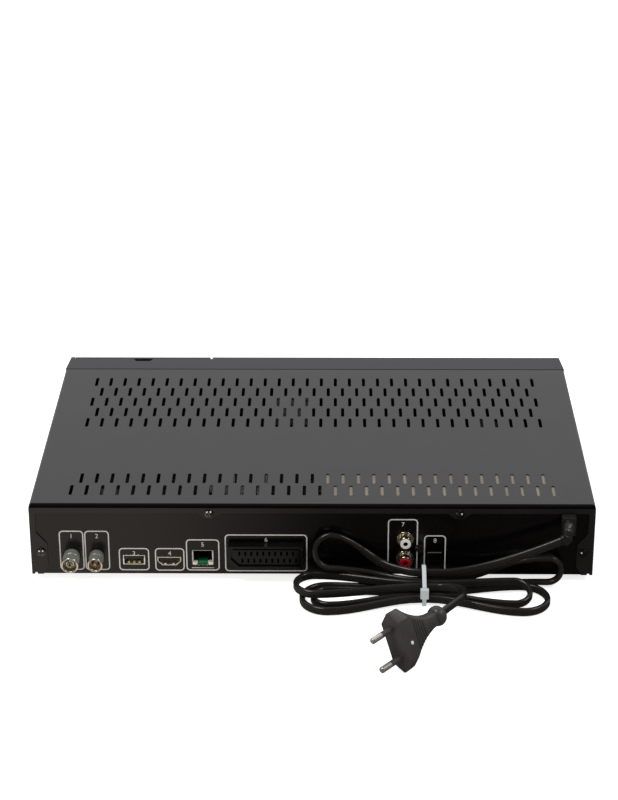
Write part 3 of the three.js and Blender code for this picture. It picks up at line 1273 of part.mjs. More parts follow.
// Strain relief: a grooved block held in the panel's notch, and a ribbed boot that turns down
function strainRelief() {
  const half = relief.width / 2;
  const low = reliefZ - relief.height / 2;
  const high = reliefZ + relief.height / 2;
  const outer = block(relief.x - half, relief.x + half, rearY - relief.block, rimY, low, high);
  const neck = block(relief.x - half + relief.groove + fit, relief.x + half - relief.groove - fit, rimY - steel,
    panelInnerY + steel, low + relief.groove + fit, high);
  const inner = block(relief.x - half, relief.x + half, panelInnerY + fit, panelInnerY + fit + relief.block / 2, low, high);
  const start = outward(relief.x, relief.block - steel, reliefZ);
  const direction = leadRoute[1].clone().sub(bootEnd).normalize();
  const bootLine = new THREE.CatmullRomCurve3([
    start, outward(relief.x - steel, relief.block + cord.thickness, reliefZ - steel),
    bootEnd.clone().addScaledVector(direction, -cord.width / 2), bootEnd.clone().addScaledVector(direction, -fit),
  ]);
  const rings = [];
  const steps = relief.ribs * 4;
  for (let i = 0; i <= steps; i += 1) {
    const share = i / steps;
    const at = bootLine.getPoint(share);
    const along = bootLine.getTangent(share);
    const side = along.clone().cross(upright).normalize();
    const wide = side.clone().cross(along).normalize();
    const rib = i % 4 < 2 && i < steps ? relief.rib : 0;
    const wideHalf = relief.tipRadius + (1 - share) * steel + rib;
    const sideHalf = wideHalf * 0.8;
    rings.push(ring(0, 0, 1, 12).map((p) => at.clone().addScaledVector(wide, p.x * wideHalf)
      .addScaledVector(side, p.y * sideHalf)));
  }
  return joined(outer, neck, inner, loft(rings));
}

// The plug's body is a row of rings from the face to the collar
const plugShares = [
  [0, 1, 0.93], [0.03, 1, 1], [0.2, 0.98, 1], [0.3, 0.86, 0.97], [0.42, 0.7, 0.92], [0.5, 0.62, 0.88],
  [0.52, 0.58, 0.78], [0.55, 0.57, 0.78], [0.57, 0.56, 0.84], [0.61, 0.52, 0.83], [0.63, 0.49, 0.73],
  [0.66, 0.48, 0.73], [0.68, 0.47, 0.8], [0.72, 0.44, 0.78], [0.74, 0.42, 0.68], [0.77, 0.41, 0.68],
  [0.79, 0.4, 0.75], [0.9, 0.36, 0.68], [1, 0.34, 0.62],
];
const levelSide = plugAxis.clone().cross(upright).normalize();
const plugUp = upright.clone().applyAxisAngle(plugAxis, plugLean);
const plugSide = levelSide.clone().applyAxisAngle(plugAxis, plugLean);

// Two broad sides and two narrow ones, joined by chamfers, as shares of the half width and thickness
const endShare = plug.endHalf / plug.halfThickness;
const plugOutlineShares = [
  [1, -endShare], [1, endShare], [0.73, 1], [0.25, 1], [-0.25, 1], [-0.73, 1],
  [-1, endShare], [-1, -endShare], [-0.73, -1], [-0.25, -1], [0.25, -1], [0.73, -1],
];
const roundShares = ring(0, 0, 1, 12).map((p) => [p.x, p.y]);

function plugRing(along, halfWide, halfThick, outlineShares) {
  const at = plugFace.clone().addScaledVector(plugAxis, -along);
  return outlineShares.map(([wide, thick]) => at.clone()
    .addScaledVector(plugUp, wide * halfWide).addScaledVector(plugSide, thick * halfThick));
}

function pinCentre(side) {
  return plugFace.clone().addScaledVector(plugUp, side * plugPin.spread / 2);
}

// A round rod along the plug's axis, between two distances in front of the face
function plugRod(side, from, to, radius, sides) {
  const base = pinCentre(side);
  const circle = (along, r) => {
    const at = base.clone().addScaledVector(plugAxis, along);
    return ring(0, 0, r, sides).map((p) => at.clone().addScaledVector(plugUp, p.x).addScaledVector(plugSide, p.y));
  };
  return loft([circle(from, radius), circle(to, radius)]);
}

function plugBody() {
  const shell = plugShares.map(([along, wide, thick]) => plugRing(along * plug.length,
    wide * plug.halfWidth, thick * plug.halfThickness, plugOutlineShares));
  const collarShares = [[0, 0.72], [0.04, 1], [0.5, 1.06], [0.85, 0.94], [1, 0.6]];
  const collar = collarShares.map(([along, size]) => plugRing(plug.length - fit + along * plug.collarLength + fit,
    size * plug.collar, size * plug.collar * 0.95, roundShares));
  const sleeves = [-1, 1].map((side) => plugRod(side, -plugPin.depth, plugPin.sleeve, plugPin.radius - fit / 2, 12));
  const bores = [-1, 1].map((side) => plugRod(side, -plugPin.depth * 2, plugPin.sleeve + overrun,
    plugPin.core + fit, 10));
  return cutFrom(joined(loft(shell), loft(collar), ...sleeves), ...bores);
}

function pinOf(side) {
  const base = pinCentre(side);
  const profile = [
    [-plugPin.depth * 2 + fit, plugPin.core], [plugPin.sleeve + fit, plugPin.core],
    [plugPin.sleeve + fit, plugPin.radius], [plugPin.length - plugPin.tip, plugPin.radius],
    [plugPin.length, plugPin.radius - plugPin.tip],
  ];
  const rod = turned([[0, profile[0][0]], ...profile.map(([along, r]) => [r, along]), [0, plugPin.length]], 14);
  const turn = new THREE.Quaternion().setFromUnitVectors(new THREE.Vector3(0, 1, 0), plugAxis);
  return rod.applyQuaternion(turn).translate(base.x, base.y, base.z);
}

// Assembly
addPart('chassis_tray', chassisTray(), 'zinc');
addPart('rear_panel', rearPanel(), 'panelPaint');
addPart('top_cover', topCover(), 'coverPaint');
addPart('vent_insulator', ventInsulator(), 'paperSheet');
addPart('front_bezel', frontBezel(), 'moulding');
addPart('display_window', displayWindow(), 'smoke');
addPart('front_flap', frontFlap(), 'moulding');
addPart('standby_button', roundKey(), 'blackPlastic');
addPart('channel_down_button', oblongKey(channelKeyX[0]), 'blackPlastic');
addPart('channel_up_button', oblongKey(channelKeyX[1]), 'blackPlastic');
addPart('front_board', frontControlBoard(), 'greenBoard');
addPart('display_module', displayModule(), 'blackPlastic');
addPart('module_slot', slotCage(), 'zinc');
addPart('card_reader', cardReader(), 'blackPlastic');
addPart('main_board', mainCircuitBoard(), 'greenBoard');
addPart('power_board', powerSupplyBoard(), 'greenBoard');
addPart('decoder_chip', decoderChip(), 'blackPlastic');
addPart('decoder_heat_sink', finnedSink(), 'aluminium');
addPart('power_heat_sink', powerSink(), 'aluminium');
addPart('transformer', transformerBody(), 'yellowTape');
addPart('bulk_capacitor', bulkCapacitor(), 'sleeve');
addPart('mains_filter', mainsFilter(), 'blackPlastic');
addPart('front_ribbon', frontRibbon(), 'ribbonGrey');
addPart('supply_lead', supplyLead(), 'ribbonGrey');
addPart('tuner_can', tunerBox(), 'zinc');
addPart('antenna_in_socket', antennaSocket(antennaIn, true), 'nickel');
addPart('antenna_out_socket', antennaSocket(antennaOut, false), 'nickel');
addPart('usb_socket', usbSocket(), 'nickel');
addPart('hdmi_socket', hdmiSocket(), 'nickel');
addPart('network_socket', networkSocket(), 'nickel');
addPart('scart_socket', scartSocket(), 'blackPlastic');
addPart('phono_block', phonoHousing(), 'blackPlastic');
addPart('phono_shell_left', phonoShell(phono.upperUp), 'nickel');
addPart('phono_shell_right', phonoShell(phono.lowerUp), 'nickel');
addPart('phono_insert_left', phonoCore(phono.upperUp), 'whitePlastic');
addPart('phono_insert_right', phonoCore(phono.lowerUp), 'redPlastic');
addPart('optical_jack', opticalJack(), 'blackPlastic');
addPart('optical_shutter', opticalShutter(), 'blackPlastic');

[[-1, -1], [1, -1], [-1, 1], [1, 1]].forEach(([sx, sy], i) => {
  const y = sy < 0 ? rearY + foot.insetY : frontY - foot.insetY;
  addPart(`foot_${i + 1}`, footAt(sx * (halfWidth - foot.insetX), y), 'rubber');
});

topScrewX.forEach((x, i) => {
  addPart(`cover_screw_top_${i + 1}`, rearScrew(x, coverScrews.topUp, rimY - seat), 'screwSteel');
});
sideScrewX.forEach((x, i) => {
  addPart(`cover_screw_side_${i + 1}`, rearScrew(x, coverScrews.sideUp, rimY - seat), 'screwSteel');
});
addPart('phono_screw', rearScrew(phonoScrewX, phonoScrewUp, rearY - seat), 'screwSteel');
mainScrews.forEach(({ x, y }, i) => {
  const length = boardThickness + standoff.height;
  addPart(`board_screw_${i + 1}`, screwAt(length).translate(x, y, boardTopZ + seat), 'screwSteel');
});

addPart('strain_relief', strainRelief(), 'cordPlastic');
addPart('cord_lead', cordLead(), 'cordPlastic');
addPart('cord_hank', flatCord(hankStations(), sixSidedShares), 'cordPlastic');
addPart('cord_tail', cordTail(), 'cordPlastic');
addPart('cable_tie', cableTie(), 'tieNylon');
addPart('plug_body', plugBody(), 'cordPlastic');
addPart('plug_pin_1', pinOf(-1), 'nickel');
addPart('plug_pin_2', pinOf(1), 'nickel');

const hankGap = leastGap(hankStations());
console.log(`hank: ${hankGap.length.toFixed(0)} mm of cord, least gap to itself ${hankGap.least.toFixed(2)} mm at ${hankGap.place}`);

export default receiver;
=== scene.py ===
"""Dresses the digital television receiver: finishes, printed frames, contacts, cord and plug.

Everything is in metres in the frame of the CAD model. The rear panel faces -Y, the front
faces +Y and +Z is up. Sizes are written in millimetres and turned to metres by MM.
"""

import json
import logging
import math
from collections.abc import Callable, Iterable
from dataclasses import dataclass
from enum import Enum

import bpy
from mathutils import Matrix, Vector

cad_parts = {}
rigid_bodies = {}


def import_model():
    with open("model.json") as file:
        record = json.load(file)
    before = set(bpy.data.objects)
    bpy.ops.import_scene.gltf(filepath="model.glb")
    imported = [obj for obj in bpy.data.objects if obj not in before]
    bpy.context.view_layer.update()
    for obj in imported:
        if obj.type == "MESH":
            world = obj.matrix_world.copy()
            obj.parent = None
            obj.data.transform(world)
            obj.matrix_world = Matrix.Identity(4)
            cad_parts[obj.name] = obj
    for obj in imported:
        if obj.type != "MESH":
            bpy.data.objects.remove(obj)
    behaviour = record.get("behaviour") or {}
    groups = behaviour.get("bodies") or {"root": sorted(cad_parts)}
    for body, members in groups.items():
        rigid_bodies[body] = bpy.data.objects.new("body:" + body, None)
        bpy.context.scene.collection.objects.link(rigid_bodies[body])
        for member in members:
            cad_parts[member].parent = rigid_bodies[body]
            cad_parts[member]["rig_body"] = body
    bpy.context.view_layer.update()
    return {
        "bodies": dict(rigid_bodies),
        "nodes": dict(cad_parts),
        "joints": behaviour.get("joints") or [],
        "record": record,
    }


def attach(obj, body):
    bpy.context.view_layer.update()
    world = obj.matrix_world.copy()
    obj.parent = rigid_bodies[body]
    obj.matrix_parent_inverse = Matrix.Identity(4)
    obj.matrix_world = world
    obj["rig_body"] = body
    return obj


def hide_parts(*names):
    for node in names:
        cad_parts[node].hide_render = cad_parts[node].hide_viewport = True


log = logging.getLogger("receiver")

Triple = tuple[float, float, float]
Pair = tuple[float, float]
Piece = bpy.types.Object
Tree = bpy.types.NodeTree
Places = tuple[tuple[str, float], ...]

MM = 0.001

CASE_DEPTH = 236.0
CASE_HEIGHT = 49.5
FOOT_HEIGHT = 4.5
ANTENNA_REACH = 13.0
BUTTON_PROUD = 0.8
FRONT_Y = (CASE_DEPTH + ANTENNA_REACH - BUTTON_PROUD) / 2
REAR_Y = FRONT_Y - CASE_DEPTH
BEND_RADIUS = 1.8
# How far the bend's painted shade, a near-black matt paint, runs on over the flat top
BEND_SHADE_MARGIN = 0.6
BOARD_TOP = 9.5
PATCH_SIZE = 28.0
TIE_X = 70.99

# Turns a piece made along +Z to point out of the rear panel
REARWARD = Matrix.Rotation(math.pi / 2, 4, "X")
UPRIGHT = Matrix.Identity(4)


class Grain(Enum):
    """The kinds of surface texture that the finishes have."""

    ORANGE_PEEL = "paint that dried in low waves"
    SPARK = "the fine pitting of a spark-eroded mould"
    BRUSHED = "lines from rolling or drawing"
    WOVEN = "glass cloth under solder resist"


@dataclass(frozen=True)
class Finish:
    """One real material, with the colours and the texture that give its look.

    Attributes:
        name: What the material is and how its surface was made.
        colour: Its main colour, as an sRGB hex value.
        shade: The colour of its fainter patches, as an sRGB hex value.
        roughness: Roughness of the clean surface.
        metallic: 1 for bare metal, 0 for paint and plastic.
        grain: The kind of texture.
        grain_mm: Size of one feature of the texture.
        relief_mm: Height of the texture.
        wear: How much the roughness wanders over the surface.
        coat: Strength of a clear gloss layer.
        ior: Refractive index of the surface.
        transmission: Share of light that goes through.
        slot: The record's material slot for the pieces that Blender adds. Not used.
    """

    name: str
    colour: str
    shade: str
    roughness: float
    metallic: float
    grain: Grain
    grain_mm: float
    relief_mm: float
    wear: float
    coat: float = 0.0
    ior: float = 1.5
    transmission: float = 0.0
    slot: str = ""


# Powder paint on bent steel: near black, it shows the white room as an even grey at low angles
COVER_PAINT = Finish("Satin powder paint on steel", "#1b1818", "#1f1c1c", 0.36, 0.0,
                     Grain.ORANGE_PEEL, 1.1, 0.004, 0.04)
# The photograph shows the cover's rear bend as a black line, matt beside the satin top: its dark reflection
# is painted on as near-black matt paint, a painted shade
BEND_PAINTED_SHADE = Finish("Black painted shade over the bend", "#050404", "#070606", 0.6, 0.0,
                    Grain.ORANGE_PEEL, 1.1, 0.004, 0.04, ior=1.12)
# Printed and lacquered steel: smoother than the cover, so the floor shows dimly in it
PANEL_PAINT = Finish("Lacquered black steel", "#060404", "#080606", 0.2, 0.0,
                     Grain.ORANGE_PEEL, 2.4, 0.008, 0.05)
# Zinc plating is a cool grey with faint rolling lines
ZINC = Finish("Zinc-plated steel sheet", "#a9aaa6", "#8d8f8c", 0.38, 1.0, Grain.BRUSHED, 0.5, 0.01, 0.2)
# The tin shielding can is coloured near black, a painted shade, so the vents above it read as black
TIN_IN_PAINTED_SHADE = Finish("Dull tin plate", "#1c1d1d", "#151616", 0.55, 0.6, Grain.BRUSHED, 0.5, 0.01, 0.2)
# The front's fine spark texture makes it a little lighter than the painted cover
MOULDING = Finish("Spark-textured ABS", "#2f2c30", "#363338", 0.42, 0.0,
                  Grain.SPARK, 0.5, 0.012, 0.06, ior=1.38)
# The display's window is nearly black and mirrors the room sharply
SMOKE = Finish("Polished smoked acrylic", "#0d090d", "#120d12", 0.06, 0.0,
               Grain.ORANGE_PEEL, 9.0, 0.002, 0.02, coat=0.4, ior=1.49)
# Two black plastics: the matt one of housings and tongues, the glossy one of the wide socket
BLACK_PLASTIC = Finish("Moulded black PBT", "#131211", "#1b1a19", 0.4, 0.0,
                       Grain.SPARK, 0.4, 0.012, 0.1, slot="black_plastic")
SOCKET_PLASTIC = Finish("Glossy black nylon", "#0b0b0b", "#131313", 0.22, 0.0, Grain.SPARK, 0.7, 0.006, 0.1)
# Bright nickel is warm beside chrome, and dulls where plugs have rubbed it
NICKEL = Finish("Bright nickel plate", "#e8e3d8", "#d3cbbb", 0.22, 0.85,
                Grain.BRUSHED, 0.7, 0.004, 0.12, slot="nickel")
# The turned sleeves catch the room in cream bands
TURNED_NICKEL = Finish("Turned nickel sleeve", "#fff4dc", "#efe2c4", 0.13, 1.0,
                       Grain.BRUSHED, 0.4, 0.004, 0.1)
# Contacts show as pale yellow flecks deep in the sockets
GOLD = Finish("Flash gold on bronze", "#ecd9a0", "#d8c084", 0.25, 0.45,
              Grain.BRUSHED, 0.4, 0.003, 0.1, slot="nickel")
# Cast barrels are greyer and duller than the turned rims
CAST_BARREL = Finish("Flash-plated zinc casting", "#a3a79a", "#868a7d", 0.45, 0.55,
                     Grain.SPARK, 0.6, 0.03, 0.2, slot="nickel")
# The insulators glow amber inside the barrels
DIELECTRIC = Finish("Turned amber dielectric", "#d8ac70", "#bd9158", 0.5, 0.0,
                    Grain.BRUSHED, 0.3, 0.01, 0.1, slot="insulator_sheet")
# The phono inserts are the only clean white and red on the object
WHITE_PLASTIC = Finish("Moulded white polypropylene", "#eceae2", "#e0ddd2", 0.32, 0.0,
                       Grain.SPARK, 0.5, 0.008, 0.08)
RED_PLASTIC = Finish("Moulded red polypropylene", "#b8101c", "#a00c17", 0.32, 0.0,
                     Grain.SPARK, 0.5, 0.008, 0.08)
# Board green in two copies: a dark one, painted shade under the vents, and a bright one, painted light in the
# network socket's keyway
GREEN_BOARD_PAINTED_SHADE = Finish("Green solder resist on glass cloth", "#081c11", "#0a2416", 0.5, 0.0,
                     Grain.WOVEN, 0.6, 0.01, 0.1, coat=0.2)
KEYWAY_GREEN_PAINTED_LIT = Finish("Green board seen in the keyway", "#0e7a4d", "#0a5f3d", 0.35, 0.0,
                      Grain.WOVEN, 0.6, 0.01, 0.1, slot="board_laminate")
# Heat sinks are bright with lines along their extrusion
ALUMINIUM = Finish("Extruded aluminium", "#b9bbbd", "#a2a5a8", 0.32, 1.0, Grain.BRUSHED, 0.6, 0.012, 0.15)
# The matt sheet gives the right-hand vents their light brown
PRESSED_SHEET = Finish("Pressed fishpaper", "#9b9183", "#867c6f", 0.78, 0.0, Grain.WOVEN, 0.9, 0.02, 0.1)
# The transformer's winding is wrapped in a glossy yellow
TAPE = Finish("Yellow polyester tape", "#c8a437", "#b8932b", 0.35, 0.0,
              Grain.ORANGE_PEEL, 2.0, 0.01, 0.1, coat=0.3)
# Capacitor sleeves are so dark that they vanish under the vents
SLEEVE = Finish("Shrunk PVC sleeve", "#121016", "#18151e", 0.45, 0.0,
                Grain.ORANGE_PEEL, 1.5, 0.006, 0.08, slot="capacitor_sleeve")
# The ribbon's cores show as fine ribs
RIBBON_GREY = Finish("Grey ribbon insulation", "#9b9c9e", "#88898c", 0.45, 0.0,
                     Grain.BRUSHED, 1.27, 0.03, 0.1)
# The feet are matt and swallow the light
RUBBER = Finish("Matt black rubber", "#171717", "#1f1f1f", 0.75, 0.0, Grain.SPARK, 0.5, 0.02, 0.1)
# Flexible PVC has a soft sheen that runs as a bright line along every curve
CORD_PVC = Finish("Flexible black PVC", "#1e1c1b", "#272523", 0.24, 0.0,
                  Grain.ORANGE_PEEL, 1.8, 0.02, 0.12, slot="cord_plastic")
# The plug's fine mould texture makes it lighter than the cord
PLUG_PVC = Finish("Moulded black PVC", "#3a3736", "#454240", 0.36, 0.0,
                  Grain.SPARK, 0.5, 0.02, 0.1, slot="cord_plastic")
# Natural nylon lets a little light through, so the tie is a cool near-white
NYLON = Finish("Natural nylon", "#e2e8ea", "#d6dee0", 0.3, 0.0,
               Grain.ORANGE_PEEL, 1.5, 0.01, 0.05, ior=1.53, transmission=0.12)
# Blackened heads show only their glints
SCREW_STEEL = Finish("Blackened screw steel", "#6a6661", "#4d4a46", 0.22, 1.0,
                     Grain.BRUSHED, 0.4, 0.006, 0.15)
# The few spots that the photograph shows nearly white: contacts and tinned edges, real bare metal lightened
# to a near-white painted highlight, and painted glints on the turned screws and the plug's grip
BARE_METAL_AND_GLINTS = Finish("Bare tinned metal", "#f6f6f2", "#ecece6", 0.25, 0.2,
                   Grain.BRUSHED, 0.4, 0.004, 0.1, slot="nickel")
# The ledge over the optical jack is a thin grey line, a painted highlight on the black plastic
LEDGE_PAINTED_HIGHLIGHT = Finish("Plastic rubbed grey at an edge", "#6f6c69", "#605d5b", 0.4, 0.0,
                  Grain.SPARK, 0.4, 0.006, 0.1, slot="black_plastic")
# Screen ink is flat and a little grey
SCREEN_INK = Finish("White screen ink", "#dcdad4", "#cfccc5", 0.55, 0.0,
                    Grain.SPARK, 0.4, 0.004, 0.1, slot="white_plastic")

NODE_FINISHES: dict[Finish, tuple[str, ...]] = {
    COVER_PAINT: ("top_cover",),
    PANEL_PAINT: ("rear_panel",),
    ZINC: ("chassis_tray", "module_slot"),
    TIN_IN_PAINTED_SHADE: ("tuner_can",),
    CAST_BARREL: ("antenna_in_socket", "antenna_out_socket"),
    MOULDING: ("front_bezel", "front_flap"),
    SMOKE: ("display_window",),
    BLACK_PLASTIC: ("standby_button", "channel_down_button", "channel_up_button", "display_module",
                    "card_reader", "decoder_chip", "mains_filter", "phono_block"),
    SOCKET_PLASTIC: ("scart_socket", "optical_jack", "optical_shutter"),
    TURNED_NICKEL: ("phono_shell_left", "phono_shell_right"),
    NICKEL: ("usb_socket", "hdmi_socket", "network_socket", "plug_pin_1", "plug_pin_2"),
    WHITE_PLASTIC: ("phono_insert_left",),
    RED_PLASTIC: ("phono_insert_right",),
    GREEN_BOARD_PAINTED_SHADE: ("main_board", "power_board", "front_board"),
    ALUMINIUM: ("decoder_heat_sink", "power_heat_sink"),
    PRESSED_SHEET: ("vent_insulator",),
    TAPE: ("transformer",),
    SLEEVE: ("bulk_capacitor",),
    RIBBON_GREY: ("front_ribbon", "supply_lead"),
    RUBBER: ("foot_1", "foot_2", "foot_3", "foot_4"),
    SCREW_STEEL: ("cover_screw_top_1", "cover_screw_top_2", "cover_screw_side_1", "cover_screw_side_2",
                  "phono_screw", "board_screw_1", "board_screw_2", "board_screw_3", "board_screw_4"),
    CORD_PVC: ("strain_relief", "cord_lead", "cord_hank", "cord_tail"),
    PLUG_PVC: ("plug_body",),
    NYLON: ("cable_tie",),
}

# Radius of the edges of the CAD nodes that show, in millimetres
EDGE_RADII: dict[float, tuple[str, ...]] = {
    0.1: ("optical_shutter",),
    0.12: ("usb_socket", "hdmi_socket", "phono_screw", "cover_screw_top_1", "cover_screw_top_2",
           "cover_screw_side_1", "cover_screw_side_2"),
    0.15: ("rear_panel", "phono_shell_left", "phono_shell_right", "antenna_in_socket", "antenna_out_socket"),
    0.18: ("top_cover",),
    0.2: ("network_socket", "optical_jack", "strain_relief", "cable_tie"),
    0.25: ("scart_socket",),
    0.3: ("display_window",),
    0.35: ("front_flap",),
    0.4: ("standby_button", "channel_down_button", "channel_up_button"),
    0.5: ("front_bezel",),
}


def linear_colour(value: str) -> tuple[float, float, float, float]:
    """Turns an sRGB hex value to a linear colour.

    Args:
        value: The colour, such as "#1a2b3c".

    Returns:
        Linear red, green and blue, and an alpha of 1.
    """
    channels = [int(value[i:i + 2], 16) / 255 for i in (1, 3, 5)]
    red, green, blue = (c / 12.92 if c <= 0.04045 else ((c + 0.055) / 1.055) ** 2.4 for c in channels)
    return (red, green, blue, 1.0)


def add_node(tree: Tree, kind: str, settings: dict[str, object] | None = None,
             links: dict[str | int, object] | None = None) -> bpy.types.Node:
    """Adds one node, sets its properties and inputs, and links it.

    Args:
        tree: The node tree to add to.
        kind: Blender's name of the node type, without "ShaderNode".
        settings: Values by property name or by input name.
        links: What feeds each input: an output, or a node for its first output.

    Returns:
        The new node.
    """
    node = tree.nodes.new(f"ShaderNode{kind}")
    for name, value in (settings or {}).items():
        if hasattr(node, name):
            setattr(node, name, value)
        else:
            node.inputs[name].default_value = value
    for name, source in (links or {}).items():
        output = source.outputs[0] if isinstance(source, bpy.types.Node) else source
        tree.links.new(output, node.inputs[name])
    return node


def empty_material(name: str) -> tuple[bpy.types.Material, Tree]:
    """Makes a material with no nodes in its tree yet.

    Args:
        name: Name of the material.

    Returns:
        The material and its node tree.
    """
    material = bpy.data.materials.new(name)
    material.use_nodes = True
    material.node_tree.nodes.clear()
    return material, material.node_tree


def grain_height(tree: Tree, finish: Finish, place: bpy.types.NodeSocket) -> bpy.types.Node:
    """Adds the nodes of a finish's texture.

    Args:
        tree: The material's node tree.
        finish: The finish being built.
        place: The socket that gives the place on the object, in metres.

    Returns:
        The node whose first output is the height of the texture, from 0 to 1.
    """
    scale = 1 / (finish.grain_mm * MM)
    if finish.grain is Grain.BRUSHED:
        stretched = add_node(tree, "Mapping", {"Scale": (0.06, 1.0, 1.0)}, {"Vector": place})
        return add_node(tree, "TexNoise", {"Scale": scale, "Detail": 3.0}, {"Vector": stretched})
    if finish.grain is Grain.WOVEN:
        warp, weft = (
            add_node(tree, "TexWave", {"bands_direction": way, "Scale": scale / 6}, {"Vector": place})
            for way in ("X", "Y")
        )
        threads = {0: warp.outputs["Fac"], 1: weft.outputs["Fac"]}
        return add_node(tree, "Math", {"operation": "MULTIPLY"}, threads)
    if finish.grain is Grain.SPARK:
        return add_node(tree, "TexVoronoi", {"Scale": scale, "Randomness": 1.0}, {"Vector": place})
    return add_node(tree, "TexNoise", {"Scale": scale, "Detail": 1.5, "Roughness": 0.4}, {"Vector": place})


def build_material(finish: Finish) -> bpy.types.Material:
    """Builds a finish's node material.

    Args:
        finish: The finish.

    Returns:
        The material, with its texture at real size on object coordinates.
    """
    material, tree = empty_material(finish.name)
    place = add_node(tree, "TexCoord").outputs["Object"]
    height = grain_height(tree, finish, place)
    # Patches a few centimetres across, where handling and the mould's flow left the surface uneven
    patches = add_node(tree, "TexNoise", {"Scale": 1 / (PATCH_SIZE * MM), "Detail": 4.0}, {"Vector": place})
    tint = add_node(tree, "ValToRGB", links={"Fac": patches})
    stops = ((0.35, finish.colour), (0.75, finish.shade))
    for element, (position, colour) in zip(tint.color_ramp.elements, stops):
        element.position = position
        element.color = linear_colour(colour)
    gloss = add_node(tree, "MapRange", {
        "From Min": 0.3, "From Max": 0.7,
        "To Min": max(0.02, finish.roughness - finish.wear / 2), "To Max": finish.roughness + finish.wear / 2,
    }, {"Value": patches})
    bump = add_node(tree, "Bump", {"Strength": 0.6, "Distance": finish.relief_mm * MM}, {"Height": height})
    surface = add_node(tree, "BsdfPrincipled", {
        "Metallic": finish.metallic, "Coat Weight": finish.coat, "IOR": finish.ior,
        "Transmission Weight": finish.transmission,
    }, {"Base Color": tint, "Roughness": gloss, "Normal": bump})
    add_node(tree, "OutputMaterial", links={"Surface": surface})
    return material


